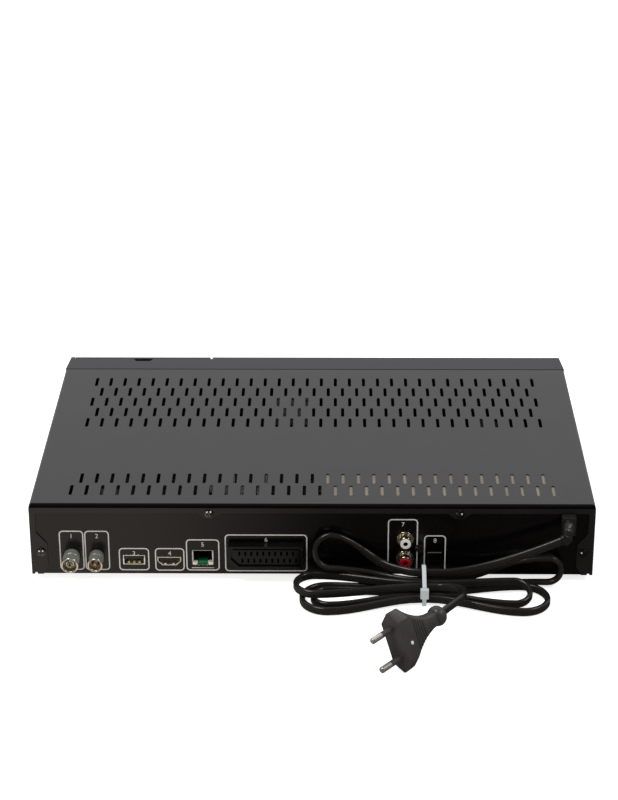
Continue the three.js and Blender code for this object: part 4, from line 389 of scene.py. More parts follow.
class Bench:
    """The modelling bench: short names for runs of Blender's own operators."""

    def __init__(self) -> None:
        """Starts with no materials made."""
        self.materials: dict[Finish, bpy.types.Material] = {}

    def material(self, finish: Finish) -> bpy.types.Material:
        """Gives a finish's material, built the first time that it is wanted.

        Args:
            finish: The finish.

        Returns:
            Its material.
        """
        if finish not in self.materials:
            self.materials[finish] = build_material(finish)
        return self.materials[finish]

    def clear(self) -> None:
        """Deselects every object and leaves none active."""
        bpy.ops.object.select_all(action="DESELECT")
        bpy.context.view_layer.objects.active = None

    def activate(self, piece: Piece) -> None:
        """Makes one object the only selected and the active one.

        Args:
            piece: The object.
        """
        self.clear()
        piece.select_set(True)
        bpy.context.view_layer.objects.active = piece

    def edit_all(self) -> None:
        """Enters edit mode with everything selected."""
        bpy.ops.object.mode_set(mode="EDIT")
        bpy.ops.mesh.select_all(action="SELECT")

    def start(self, name: str, primitive: Callable[..., object], **settings: object) -> Piece:
        """Adds one of Blender's primitives at the origin and opens it for editing.

        Args:
            name: Name of the piece.
            primitive: The operator that adds it.
            settings: The operator's own settings.

        Returns:
            The piece, in edit mode with all of it selected.
        """
        self.clear()
        primitive(location=(0, 0, 0), **settings)
        piece = bpy.context.object
        piece.name = name
        self.edit_all()
        return piece

    def pick(self, piece: Piece, kind: str, test: Callable[..., bool]) -> None:
        """Selects just the edges or faces that pass a test, from edit mode and back into it.

        Args:
            piece: The object being edited.
            kind: "EDGE" or "FACE".
            test: Says whether an edge or face is wanted.
        """
        bpy.ops.mesh.select_mode(type=kind)
        bpy.ops.mesh.select_all(action="DESELECT")
        bpy.ops.object.mode_set(mode="OBJECT")
        for element in piece.data.edges if kind == "EDGE" else piece.data.polygons:
            element.select = test(element)
        bpy.ops.object.mode_set(mode="EDIT")

    def modify(self, piece: Piece, kind: str, **settings: object) -> None:
        """Adds a modifier, sets it and applies it.

        Args:
            piece: The piece that gets it.
            kind: Blender's name of the modifier type.
            settings: Values by property name.
        """
        modifier = piece.modifiers.new(kind.lower(), kind)
        for name, value in settings.items():
            setattr(modifier, name, value)
        self.activate(piece)
        bpy.ops.object.modifier_apply(modifier=modifier.name)

    def tidy_normals(self) -> None:
        """Merges doubles, turns the faces outwards and leaves edit mode."""
        bpy.ops.mesh.select_all(action="SELECT")
        bpy.ops.mesh.remove_doubles(threshold=1e-6)
        bpy.ops.mesh.normals_make_consistent(inside=False)
        bpy.ops.object.mode_set(mode="OBJECT")

    def place(self, piece: Piece, turn: Matrix, centre: Iterable[float]) -> None:
        """Turns and moves a piece, then puts its place into its mesh.

        Args:
            piece: The piece, made about the origin.
            turn: Its turn as a 4 by 4 matrix.
            centre: Where its origin goes, in millimetres.
        """
        self.activate(piece)
        piece.matrix_world = Matrix.Translation(Vector(centre) * MM) @ turn
        bpy.ops.object.transform_apply(location=True, rotation=True, scale=True)

    def finish(self, piece: Piece, finish: Finish, body: str = "cabinet", slot: str = "",
               smooth_degrees: float = 35.0) -> Piece:
        """Smooths a piece, gives it its material and fixes it to a CAD body.

        Args:
            piece: The piece.
            finish: Its finish.
            body: The CAD body that it moves with.
            slot: The record's material slot, if it isn't the finish's own. Not used.
            smooth_degrees: Edges sharper than this stay sharp.

        Returns:
            The same piece.
        """
        self.activate(piece)
        bpy.ops.object.shade_smooth_by_angle(angle=math.radians(smooth_degrees))
        piece.data.materials.clear()
        piece.data.materials.append(self.material(finish))
        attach(piece, body)
        log.info("made %s in %s", piece.name, finish.name)
        return piece

    def turned(self, name: str, finish: Finish, profile: Iterable[Pair], sides: int, turn: Matrix,
               centre: Iterable[float], slot: str = "") -> Piece:
        """Turns a solid about Z by drawing a disc's face through a profile, and puts it in its place.

        Args:
            name: Name of the piece.
            finish: Its finish.
            profile: Pairs of radius and height in millimetres, first to last.
            sides: Number of flats round the piece.
            turn: Its turn as a 4 by 4 matrix.
            centre: Where its origin goes, in millimetres.
            slot: The record's material slot, if it isn't the finish's own.

        Returns:
            The closed piece.
        """
        stations = list(profile)
        radius, height = stations[0]
        piece = self.start(name, bpy.ops.mesh.primitive_circle_add,
                           vertices=sides, radius=radius * MM, fill_type="NGON")
        bpy.ops.mesh.select_mode(type="FACE")
        bpy.ops.mesh.select_all(action="SELECT")
        bpy.ops.transform.translate(value=(0, 0, height * MM))
        for next_radius, next_height in stations[1:]:
            bpy.ops.mesh.extrude_region_move(
                TRANSFORM_OT_translate={"value": (0, 0, (next_height - height) * MM)})
            share = next_radius / radius
            if abs(share - 1) > 1e-6:
                bpy.ops.transform.resize(value=(share, share, 1))
            radius, height = next_radius, next_height
        self.tidy_normals()
        self.place(piece, turn, centre)
        return self.finish(piece, finish, slot=slot)

    def block(self, name: str, finish: Finish, size: Triple, centre: Triple, edge: float,
              slot: str = "") -> Piece:
        """Makes a block with rounded edges.

        Args:
            name: Name of the piece.
            finish: Its finish.
            size: Width, depth and height in millimetres.
            centre: Its middle in millimetres.
            edge: Radius of its edges in millimetres.
            slot: The record's material slot, if it isn't the finish's own.

        Returns:
            The piece.
        """
        piece = self.start(name, bpy.ops.mesh.primitive_cube_add, size=1)
        bpy.ops.transform.resize(value=tuple(s * MM for s in size))
        bpy.ops.mesh.bevel(offset=edge * MM, segments=2, affect="EDGES")
        bpy.ops.mesh.select_all(action="SELECT")
        bpy.ops.transform.translate(value=tuple(c * MM for c in centre))
        self.tidy_normals()
        return self.finish(piece, finish, slot=slot)

    def flatten_faces(self, piece: Piece) -> None:
        """Lets the broad faces set the shading, so that they look flat right up to their rounded edges."""
        self.modify(piece, "WEIGHTED_NORMAL", keep_sharp=True, weight=100)

    def refined_copy(self, node: str, radius_mm: float, finish: Finish, slot: str) -> Piece:
        """Copies a CAD node, rounds its edges and lets the copy stand for it.

        Args:
            node: The CAD node.
            radius_mm: Radius of its edges in millimetres.
            finish: The finish of the copy.
            slot: The record's material slot.

        Returns:
            The piece that replaces the node.
        """
        source = bpy.data.objects[node]
        piece = bpy.data.objects.new(f"{node}_dressed", source.data.copy())
        bpy.context.scene.collection.objects.link(piece)
        self.activate(piece)
        self.edit_all()
        bpy.ops.mesh.remove_doubles(threshold=2e-6)
        bpy.ops.mesh.dissolve_limited(angle_limit=math.radians(1.0))
        bpy.ops.object.mode_set(mode="OBJECT")
        self.modify(piece, "BEVEL", width=radius_mm * MM, segments=2, limit_method="ANGLE",
                    angle_limit=math.radians(34), use_clamp_overlap=True, harden_normals=False)
        self.finish(piece, finish, source["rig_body"], slot)
        self.flatten_faces(piece)
        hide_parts(node)
        return piece


@dataclass
class Studio:
    """The camera at the photograph's place, a pale floor and plain soft light."""

    focal_px: float = 2200.0
    picture_height_px: int = 800
    sensor_mm: float = 36.0
    camera_mm: Triple = (13.39, REAR_Y - 1240.99, 692.8)
    pitch_deg: float = 24.495
    yaw_deg: float = -0.689
    roll_deg: float = -0.182
    floor_size: float = 9.0
    floor_drop: float = 0.0002
    floor_lift: float = 0.75
    # The paper glows only in reflections, a painted reflection that the panel shows bright at its left and
    # dark at its right
    paper_x: Pair = (-0.14, 0.04)
    paper_light: Pair = (0.68, 0.05)
    room_light: float = 0.5
    paper_colours: tuple[str, str] = ("#f0f0f0", "#f6f6f6")
    # Reflections see the camera's side dark and the far wall bright
    wall_light: Pair = (0.05, 0.9)

    def build(self) -> None:
        """Makes the camera, the floor, the room and the lamps."""
        self.camera()
        self.floor()
        self.room()
        self.lamp("key_softbox", (-0.7, -0.5, 1.7), 0.7, 13.0)
        self.lamp("fill_softbox", (1.1, -0.3, 1.3), 0.5, 5.0)
        bpy.context.scene.view_settings.view_transform = "Standard"

    def camera(self) -> None:
        """Puts the camera where the photograph was taken from."""
        lens = bpy.data.cameras.new("photograph_camera")
        lens.sensor_width = self.sensor_mm
        lens.lens = self.focal_px * self.sensor_mm / self.picture_height_px
        lens.clip_start = 0.05
        lens.clip_end = 30.0
        camera = bpy.data.objects.new("photograph_camera", lens)
        bpy.context.scene.collection.objects.link(camera)
        yaw = Matrix.Rotation(-math.radians(self.yaw_deg), 4, "Z")
        pitch = Matrix.Rotation(math.pi / 2 - math.radians(self.pitch_deg), 4, "X")
        roll = Matrix.Rotation(math.radians(self.roll_deg), 4, "Z")
        camera.matrix_world = Matrix.Translation(Vector(self.camera_mm) * MM) @ yaw @ pitch @ roll
        bpy.context.scene.camera = camera

    def floor(self) -> None:
        """Lays the pale floor, which is white to the camera apart from the shadow, and glows in reflections
        as a painted reflection that fades from left to right.
        """
        bpy.ops.object.select_all(action="DESELECT")
        bpy.ops.mesh.primitive_plane_add(size=self.floor_size, location=(0, 0, -self.floor_drop))
        floor = bpy.context.object
        floor.name = "studio_floor"
        material, tree = empty_material("Matt white paper sweep")
        place = add_node(tree, "TexCoord").outputs["Object"]
        path = add_node(tree, "LightPath").outputs
        fibre = add_node(tree, "TexNoise", {"Scale": 900.0, "Detail": 2.0}, {"Vector": place})
        tint = add_node(tree, "ValToRGB", links={"Fac": fibre})
        for element, colour in zip(tint.color_ramp.elements, self.paper_colours):
            element.color = linear_colour(colour)
        paper = add_node(tree, "BsdfDiffuse", links={"Color": tint})
        lift = add_node(tree, "MapRange", {"To Max": self.floor_lift}, {"Value": path["Is Camera Ray"]})
        glow = add_node(tree, "Emission", {"Color": (1, 1, 1, 1)}, {"Strength": lift})
        seen = add_node(tree, "AddShader", links={0: paper, 1: glow})
        # Painted reflection: to glossy rays the paper glows brighter at the left than at the right
        across = add_node(tree, "SeparateXYZ", links={"Vector": place}).outputs["X"]
        fall = add_node(tree, "MapRange", {
            "interpolation_type": "SMOOTHSTEP", "From Min": self.paper_x[0], "From Max": self.paper_x[1],
            "To Min": self.paper_light[0], "To Max": self.paper_light[1],
        }, {"Value": across})
        mirrored = add_node(tree, "Emission", {"Color": linear_colour("#fff2e6")}, {"Strength": fall})
        both = add_node(tree, "MixShader", links={"Fac": path["Is Glossy Ray"], 1: seen, 2: mirrored})
        add_node(tree, "OutputMaterial", links={"Surface": both})
        floor.data.materials.append(material)

    def room(self) -> None:
        """Fills the room with even white light. Reflections see a white far wall and a dark camera side."""
        world = bpy.data.worlds.new("white_room")
        bpy.context.scene.world = world
        world.use_nodes = True
        tree = world.node_tree
        tree.nodes.clear()
        path = add_node(tree, "LightPath").outputs
        seen = add_node(tree, "Math", {"operation": "MAXIMUM"},
                        {0: path["Is Camera Ray"], 1: path["Is Transmission Ray"]})
        plain = add_node(tree, "MapRange", {"To Min": self.room_light, "To Max": 1.0}, {"Value": seen})
        towards = add_node(tree, "TexCoord").outputs["Generated"]
        depth = add_node(tree, "SeparateXYZ", links={"Vector": towards}).outputs["Y"]
        far_wall = add_node(tree, "MapRange", {
            "interpolation_type": "SMOOTHSTEP", "From Min": 0.0, "From Max": 0.75,
            "To Min": self.wall_light[0], "To Max": self.wall_light[1],
        }, {"Value": depth})
        choice = {0: path["Is Glossy Ray"], 2: plain, 3: far_wall}
        strength = add_node(tree, "Mix", {"data_type": "FLOAT"}, choice)
        back = add_node(tree, "Background", {"Color": (1, 1, 1, 1)}, {"Strength": strength})
        add_node(tree, "OutputWorld", links={"Surface": back})

    def lamp(self, name: str, place: Triple, size: float, watts: float) -> None:
        """Adds a square softbox that faces the object.

        Args:
            name: Name of the lamp.
            place: Its place in metres.
            size: Its side in metres.
            watts: Its power.
        """
        light = bpy.data.lights.new(name, "AREA")
        light.shape = "SQUARE"
        light.size = size
        light.energy = watts
        lamp = bpy.data.objects.new(name, light)
        bpy.context.scene.collection.objects.link(lamp)
        lamp.location = place
        lamp.rotation_euler = (-Vector(place)).to_track_quat("-Z", "Y").to_euler()


@dataclass
class Assembly:
    """A sub-assembly, made at the modelling bench."""

    bench: Bench


@dataclass(frozen=True)
class Fold:
    """One fold of the hank, in millimetres.

    Attributes:
        side: 1 to the right of the tie, -1 to the left.
        reach: Its reach from the tie.
        out_run: Where the run out ends: distance behind the panel and height.
        back_run: Where the run back starts, likewise.
        lean: Share of the run by which the change of height comes after the spread.
    """

    side: int
    reach: float
    out_run: Pair
    back_run: Pair
    lean: float = 0.0


@dataclass
class MainsCord(Assembly):
    """The flat twin cord: the lead from the boot, the hank in its tie and the tail to the plug."""

    collar_end: Vector
    width: float = 5.6
    thickness: float = 3.5
    strand_gap: float = 0.45
    tie_out: float = 25.0
    tie_width: float = 2.6
    tie_base: float = 1.2
    # Column from the panel and layer of each strand in the tie, in the cord's order
    slots: tuple[tuple[int, int], ...] = ((0, 2), (0, 1), (0, 0), (3, 0), (1, 0), (2, 0), (1, 1), (2, 1))
    folds: tuple[Fold, ...] = (
        Fold(-1, 69, (4, 35), (11, 15), 0.35),
        Fold(1, 88, (6, 20), (7.5, 3.2), 0.3),
        Fold(-1, 77, (13, 2.9), (45, 2.9)),
        Fold(1, 78, (45.5, 2.9), (12.5, 2.9)),
        Fold(-1, 70, (18, 2.9), (38, 2.9)),
        Fold(1, 67, (36, 3.2), (17, 8.9)),
        Fold(-1, 81, (9.5, 8.9), (34, 8.9)),
    )
    run_steps: int = 9
    bend_steps: int = 18
    lead_steps: int = 42
    tail_steps: int = 36
    section_sides: int = 20
    boot_end: Triple = (158.0, 14.0, 36.5)
    # How far along its way the free lead has come at each of its bends
    lead_shares: tuple[float, ...] = (0.09, 0.29, 0.54, 0.81)
    # The power of its fall, which is steep at the boot and flat at the tie
    lead_sag: float = 1.5
    landing_lift: float = 0.1
    # The tail's distance beside the tie, distance behind the panel and height
    tail_bow: tuple[Triple, ...] = (
        (18.5, 31.5, 12.4), (24.0, 40.5, 15.2), (23.0, 50.5, 16.8), (16.5, 61.0, 17.4),
    )
    end_gap: float = 0.3
    # Share of the thickness lost in the dip between the cores, and the dip's width
    dip: Pair = (0.1, 0.7)

    def point(self, x: float, out: float, z: float) -> Vector:
        """A place from its X, its distance behind the rear panel and its height, in millimetres."""
        return Vector((x, REAR_Y - out, z))

    def slot_place(self, slot: tuple[int, int]) -> Pair:
        """Where a strand goes through the tie.

        Args:
            slot: Its column from the panel and its layer.

        Returns:
            Its distance behind the panel and its height.
        """
        column, layer = slot
        columns = max(c for c, _ in self.slots)
        out = self.tie_out + (column - columns / 2) * (self.thickness + self.strand_gap)
        return out, self.tie_base + self.width / 2 + layer * (self.width + self.strand_gap)

    def eased(self, share: float) -> float:
        """A share from 0 to 1 that starts and ends softly."""
        return share * share * (3 - 2 * share)

    def run_station(self, fold: Fold, slot: Pair, end: Pair, share: float,
                    straight_end: float) -> tuple[Vector, float]:
        """A place on a run between the tie and a fold's end.

        Args:
            fold: The fold.
            slot: Where the run leaves the tie.
            end: Where the run ends, before the bend.
            share: How far along the run, from 0 at the tie to 1.
            straight_end: Distance of the run's end from the tie.

        Returns:
            The place, and how far the section has turned with the fold, from 0 to 1.
        """
        spread = self.eased(min(1.0, share / (1 - fold.lean)))
        climb = self.eased(max(0.0, (share - fold.lean) / (1 - fold.lean)))
        out = slot[0] + (end[0] - slot[0]) * spread
        z = slot[1] + (end[1] - slot[1]) * climb
        along = self.tie_width + (straight_end - self.tie_width) * share
        return self.point(TIE_X + fold.side * along, out, z), climb

    def fold_stations(self, fold: Fold, first: Pair, second: Pair) -> list[tuple[Vector, Vector]]:
        """The stations of one fold, out from the tie, round the bend and back.

        Args:
            fold: The fold.
            first: Where the cord leaves the tie.
            second: Where it comes back.

        Returns:
            Pairs of a place and the direction of the cord's wide side.
        """
        upright = Vector((0, 0, 1))
        across = Vector((0, fold.out_run[0] - fold.back_run[0], fold.back_run[1] - fold.out_run[1]))
        radius = across.length / 2
        straight_end = fold.reach - radius
        sideways = Vector((fold.side, 0, 0))
        normal = sideways.cross(across).normalized()
        if normal.z < 0:
            normal.negate()
        if abs(normal.z) < abs(normal.y) and normal.y > 0:
            normal.negate()

        def run(slot: Pair, end: Pair) -> list[tuple[Vector, Vector]]:
            """The stations of one run, from the tie outwards.

            Args:
                slot: Where it leaves the tie.
                end: Where it ends, before the bend.

            Returns:
                Pairs as those of the whole fold.
            """
            places = (self.run_station(fold, slot, end, i / self.run_steps, straight_end)
                      for i in range(self.run_steps))
            return [(at, upright.lerp(normal, turn).normalized()) for at, turn in places]

        middle = self.point(TIE_X + fold.side * straight_end,
                            (fold.out_run[0] + fold.back_run[0]) / 2,
                            (fold.out_run[1] + fold.back_run[1]) / 2)
        bend = []
        for i in range(self.bend_steps + 1):
            angle = math.pi * i / self.bend_steps
            at = middle - across * (math.cos(angle) / 2) + sideways * (math.sin(angle) * radius)
            bend.append((at, normal.copy()))
        return run(first, fold.out_run) + bend + run(second, fold.back_run)[::-1]

    def free_stations(self, points: list[Vector], steps: int) -> list[tuple[Vector, Vector]]:
        """Stations along a smooth free stretch that stands on its narrow side.

        Args:
            points: The places that it goes through.
            steps: How many stations to make.

        Returns:
            Pairs of a place and the direction of the cord's wide side.
        """
        chords = [0.0]
        for a, b in zip(points, points[1:]):
            chords.append(chords[-1] + (b - a).length ** 0.5)
        padded = [points[0] * 2 - points[1], *points, points[-1] * 2 - points[-2]]
        knots = [-chords[1], *chords, 2 * chords[-1] - chords[-2]]
        stations = []
        for i in range(steps + 1):
            t = chords[-1] * i / steps
            k = max(j for j in range(len(points) - 1) if chords[j] <= t + 1e-9)
            stations.append((self.centripetal(padded[k:k + 4], knots[k:k + 4], t), Vector((0, 0, 1))))
        return stations

    def centripetal(self, places: list[Vector], knots: list[float], t: float) -> Vector:
        """A point of the centripetal spline through four places.

        Args:
            places: The four places.
            knots: Their knots.
            t: Where between the middle two.

        Returns:
            The point.
        """
        def mix(a: Vector, b: Vector, ta: float, tb: float) -> Vector:
            """Blends two points by where t lies between their knots."""
            return a * ((tb - t) / (tb - ta)) + b * ((t - ta) / (tb - ta))

        a1, a2, a3 = (mix(places[i], places[i + 1], knots[i], knots[i + 1]) for i in range(3))
        b1 = mix(a1, a2, knots[0], knots[2])
        b2 = mix(a2, a3, knots[1], knots[3])
        return mix(b1, b2, knots[1], knots[2])

    def stations(self) -> list[tuple[Vector, Vector]]:
        """All the stations of the cord, from the boot to the plug's collar.

        Returns:
            Pairs of a place and the direction of the cord's wide side.
        """
        places = [self.slot_place(slot) for slot in self.slots]
        start_x = TIE_X + self.tie_width + self.thickness / 2
        first, last = places[0], places[-1]
        boot = self.point(*self.boot_end)
        landing = self.point(start_x + 2 * self.width, first[0], first[1] + self.landing_lift)
        lead = [boot]
        for share in self.lead_shares:
            at = boot.lerp(landing, share)
            at.z = landing.z + (boot.z - landing.z) * (1 - share) ** self.lead_sag
            lead.append(at)
        lead += [landing, self.point(start_x + self.width, *first)]
        lead.append(self.point(start_x + self.end_gap, *first))
        tail = [self.point(start_x + self.end_gap, *last), self.point(start_x + self.width, *last)]
        tail += [self.point(TIE_X + beside, out, z) for beside, out, z in self.tail_bow]
        tail.append(self.collar_end)
        upright = Vector((0, 0, 1))
        stations = self.free_stations(lead, self.lead_steps)
        stations.append((self.point(start_x, *first), upright))
        for i, fold in enumerate(self.folds):
            stations.extend(self.fold_stations(fold, places[i], places[i + 1]))
        stations.append((self.point(start_x, *last), upright))
        return stations + self.free_stations(tail, self.tail_steps)

    def section(self) -> list[Pair]:
        """The cord's flat section, with round narrow sides and a faint dip between its two cores.

        Returns:
            Points along its width and through its thickness.
        """
        points = []
        straight = (self.width - self.thickness) / 2
        for i in range(self.section_sides):
            angle = 2 * math.pi * i / self.section_sides
            wide = math.cos(angle)
            x = math.copysign(straight, wide) * min(1.0, abs(wide) * 3) + wide * self.thickness / 2
            kept = 1 - self.dip[0] * math.exp(-(x / self.dip[1]) ** 2)
            points.append((x, math.sin(angle) * self.thickness / 2 * kept))
        return points

    def build(self) -> Piece:
        """Makes the cord as one tube along its stations.

        Returns:
            The cord.
        """
        stations = self.stations()
        section = self.section()
        vertices, faces = [], []
        for i, (at, wide) in enumerate(stations):
            before = stations[max(0, i - 1)][0]
            after = stations[min(len(stations) - 1, i + 1)][0]
            along = (after - before).normalized()
            side = along.cross(wide).normalized()
            up = side.cross(along).normalized()
            vertices.extend((at + up * a + side * b) * MM for a, b in section)
        count = len(section)
        for i in range(len(stations) - 1):
            for j in range(count):
                a, b = i * count + j, i * count + (j + 1) % count
                faces.append((a, b, b + count, a + count))
        end = (len(stations) - 1) * count
        faces.append(tuple(reversed(range(count))))
        faces.append(tuple(end + j for j in range(count)))
        mesh = bpy.data.meshes.new("mains_cord")
        mesh.from_pydata(vertices, [], faces)
        cord = bpy.data.objects.new("mains_cord", mesh)
        bpy.context.scene.collection.objects.link(cord)
        self.bench.activate(cord)
        self.bench.edit_all()
        self.bench.tidy_normals()
        self.bench.finish(cord, CORD_PVC, smooth_degrees=50)
        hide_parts("cord_lead", "cord_hank", "cord_tail")
        return cord

    def declare(self, cord: Piece, pieces: list[Piece]) -> None:
        """Works out the cord's route from its stations, and does nothing with it.

        Args:
            cord: The cord. Not used.
            pieces: The plug and what else is on the cord. Not used.
        """
        path = [tuple(at * MM) for at, _ in self.stations()]


@dataclass
class MainsPlug(Assembly):
    """The moulded two-pin plug, leaning over on its narrow side at the end of the cord."""

    face_mm: Triple = (TIE_X - 20.0, REAR_Y - 109.0, 17.92)
    axis: Pair = (-0.62, -0.78)
    lean_deg: float = 22.5
    half_width: float = 19.0
    half_thickness: float = 6.85
    chamfer: float = 6.2
    body_edge: float = 0.5
    rim_depth: float = 3.0
    length: float = 37.0
    collar_length: float = 9.0
    collar_radius: float = 6.45
    collar_steps: int = 12
    neck_share: float = 0.265
    # Share of the width left at the shoulder, the power of the waist and the share of thickness lost
    shoulder_share: float = 0.985
    waist_power: float = 2.1
    thinning: float = 0.36
    # Distances behind the face, and then behind the last groove, at which the body's outline is set
    shoulder: float = 9.0
    front_stations: tuple[float, ...] = (9.0, 10.1, 11.3)
    rear_stations: tuple[float, ...] = (1.0, 3.5, 7.5)
    # Distance from the start of a groove, and share of its depth
    groove_steps: tuple[Pair, ...] = ((0.0, 0.0), (0.3, 1.0), (0.8, 1.0), (1.1, 0.0))
    groove_count: int = 5
    first_groove: float = 12.4
    groove_pitch: float = 2.2
    groove_depth: float = 0.8
    # The grip's distance across from the middle and behind the face, and how deep it sits
    grip_at: Pair = (-2.6, 6.4)
    grip_sunk: float = 0.45
    pin_spread: float = 18.6
    pin_radius: float = 2.0
    sleeve_length: float = 11.0
    # Radius and height of each station of the grip's raised ring, of the painted glint in it and of a pin's
    # boss
    ring: tuple[Pair, ...] = (
        (2.9, -0.8), (2.9, -0.1), (2.6, 0.3), (2.1, 0.1), (1.9, 0.5), (1.0, 0.75), (0.3, 0.8),
    )
    tip: tuple[Pair, ...] = ((1.15, -0.5), (1.15, 0.85), (0.85, 1.1), (0.3, 1.2))
    boss: tuple[Pair, ...] = ((2.9, -0.5), (2.9, 0.2), (2.6, 0.45), (2.0, 0.45))

    def along(self) -> Vector:
        """The way that the plug points, level with the floor."""
        return Vector((*self.axis, 0)).normalized()

    def frame(self) -> Matrix:
        """The plug's own axes.

        Returns:
            The turn whose X runs along its width, Y through its thickness and Z out of its face.
        """
        along = self.along()
        up = Matrix.Rotation(math.radians(self.lean_deg), 3, along) @ Vector((0, 0, 1))
        return Matrix((up, along.cross(up), along)).transposed().to_4x4()

    def spot(self, x: float, y: float, z: float) -> Vector:
        """A place on the plug, given in its own axes from the middle of its face."""
        return Vector(self.face_mm) + self.frame().to_3x3() @ Vector((x, y, z))

    def cord_end(self) -> Vector:
        """Where the cord meets the collar, in millimetres."""
        return Vector(self.face_mm) - self.along() * (self.length + self.collar_length + 0.3)

    def waist(self, back: float) -> Pair:
        """How the body narrows towards its waist.

        Args:
            back: Distance behind the face.

        Returns:
            The shares of the full width and of the full thickness there.
        """
        share = min(1.0, max(0.0, (back - self.shoulder) / (self.length - self.shoulder)))
        wide = self.neck_share + (self.shoulder_share - self.neck_share) * (1 - share) ** self.waist_power
        return wide, 1 - self.thinning * share

    def outline_stations(self) -> list[Triple]:
        """The body's outline from the shoulder to the collar, grooves included.

        Returns:
            Distances behind the face, each with its shares of width and thickness.
        """
        stations = [(back, *self.waist(back)) for back in self.front_stations]
        for i in range(self.groove_count):
            start = self.first_groove + i * self.groove_pitch
            for offset, share in self.groove_steps:
                wide, thick = self.waist(start + offset)
                sunk = share * self.groove_depth
                wide -= sunk / self.half_width
                thick -= sunk / self.half_thickness
                stations.append((start + offset, wide, thick))
        last = self.first_groove + self.groove_count * self.groove_pitch
        backs = [last + offset for offset in self.rear_stations] + [self.length]
        return stations + [(back, *self.waist(back)) for back in backs]

    def body(self) -> Piece:
        """Makes the moulded body by drawing its rear face through the waist and the grips.

        Returns:
            The body.
        """
        depth = self.rim_depth
        piece = self.bench.start("plug_moulding", bpy.ops.mesh.primitive_cube_add, size=1)
        bpy.ops.transform.resize(value=(2 * self.half_width * MM, 2 * self.half_thickness * MM, depth * MM))
        bpy.ops.transform.translate(value=(0, 0, -depth / 2 * MM))

        def runs_back(edge: bpy.types.MeshEdge) -> bool:
            """Says whether an edge runs from the face to the back."""
            a, b = (piece.data.vertices[i].co for i in edge.vertices)
            return abs(a.z - b.z) > 0.5 * depth * MM

        self.bench.pick(piece, "EDGE", runs_back)
        bpy.ops.mesh.bevel(offset=self.chamfer * MM, segments=1, affect="EDGES")
        self.bench.pick(piece, "FACE", lambda face: face.normal.z < -0.9)
        back, wide, thick = depth, 1.0, 1.0
        for next_back, next_wide, next_thick in self.outline_stations():
            bpy.ops.mesh.extrude_region_move(
                TRANSFORM_OT_translate={"value": (0, 0, -(next_back - back) * MM)})
            bpy.ops.transform.resize(value=(next_wide / wide, next_thick / thick, 1))
            back, wide, thick = next_back, next_wide, next_thick
        self.bench.tidy_normals()
        self.bench.modify(piece, "BEVEL", width=self.body_edge * MM, segments=2, limit_method="ANGLE",
                          angle_limit=math.radians(32))
        self.bench.place(piece, self.frame(), self.face_mm)
        return self.bench.finish(piece, PLUG_PVC)

    def collar(self) -> Piece:
        """Makes the ball-shaped collar behind the waist, where the cord enters.

        Returns:
            The collar.
        """
        half = self.collar_length / 2
        middle = self.length + half
        profile = []
        for i in range(self.collar_steps + 1):
            angle = math.pi * (i / self.collar_steps - 0.5)
            bulge = math.cos(angle) ** 0.6 if abs(angle) < 1.5 else 0.0
            profile.append((self.collar_radius * max(0.55, bulge), -middle - math.sin(angle) * half))
        return self.bench.turned("plug_collar", PLUG_PVC, profile, 32, self.frame(), self.face_mm)

    def pin_parts(self, side: int) -> list[Piece]:
        """Makes the black sleeve and the small boss of one pin.

        Args:
            side: 1 for the upper pin, -1 for the lower one.

        Returns:
            The two pieces.
        """
        centre = self.spot(side * self.pin_spread / 2, 0, 0)
        core, outer, end = 1.35, self.pin_radius - 0.05, self.sleeve_length
        sleeve = ((core, -1.0), (outer, -1.0), (outer, end - 0.3), (self.pin_radius - 0.3, end), (core, end))
        return [self.bench.turned(f"{name}_{side + 2}", PLUG_PVC, profile, 28, self.frame(), centre)
                for name, profile in (("pin_sleeve", sleeve), ("pin_boss", self.boss))]

    def grip(self) -> list[Piece]:
        """Makes the raised ring on the plug's broad side and the near-white painted glint in it.

        Returns:
            The two pieces.
        """
        # The broad side that faces the camera is the one whose normal points to -Y
        side = -1 if (self.frame().to_3x3() @ Vector((0, 1, 0))).y > 0 else 1
        turn = self.frame() @ Matrix.Rotation(-side * math.pi / 2, 4, "X")
        across, back = self.grip_at
        centre = self.spot(across, side * (self.half_thickness - self.grip_sunk), -back)
        # The near-white tip is a painted glint
        tip = self.bench.turned("plug_grip_glint", BARE_METAL_AND_GLINTS, self.tip, 20, turn, centre, slot="cord_plastic")
        return [self.bench.turned("plug_grip_boss", PLUG_PVC, self.ring, 28, turn, centre), tip]

    def build(self) -> list[Piece]:
        """Makes the whole plug.

        Returns:
            All its pieces, the CAD pins among them.
        """
        body = self.body()
        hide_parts("plug_body")
        pieces = [body, self.collar(), *self.grip()]
        for side in (-1, 1):
            pieces.extend(self.pin_parts(side))
        return pieces + [bpy.data.objects["plug_pin_1"], bpy.data.objects["plug_pin_2"]]


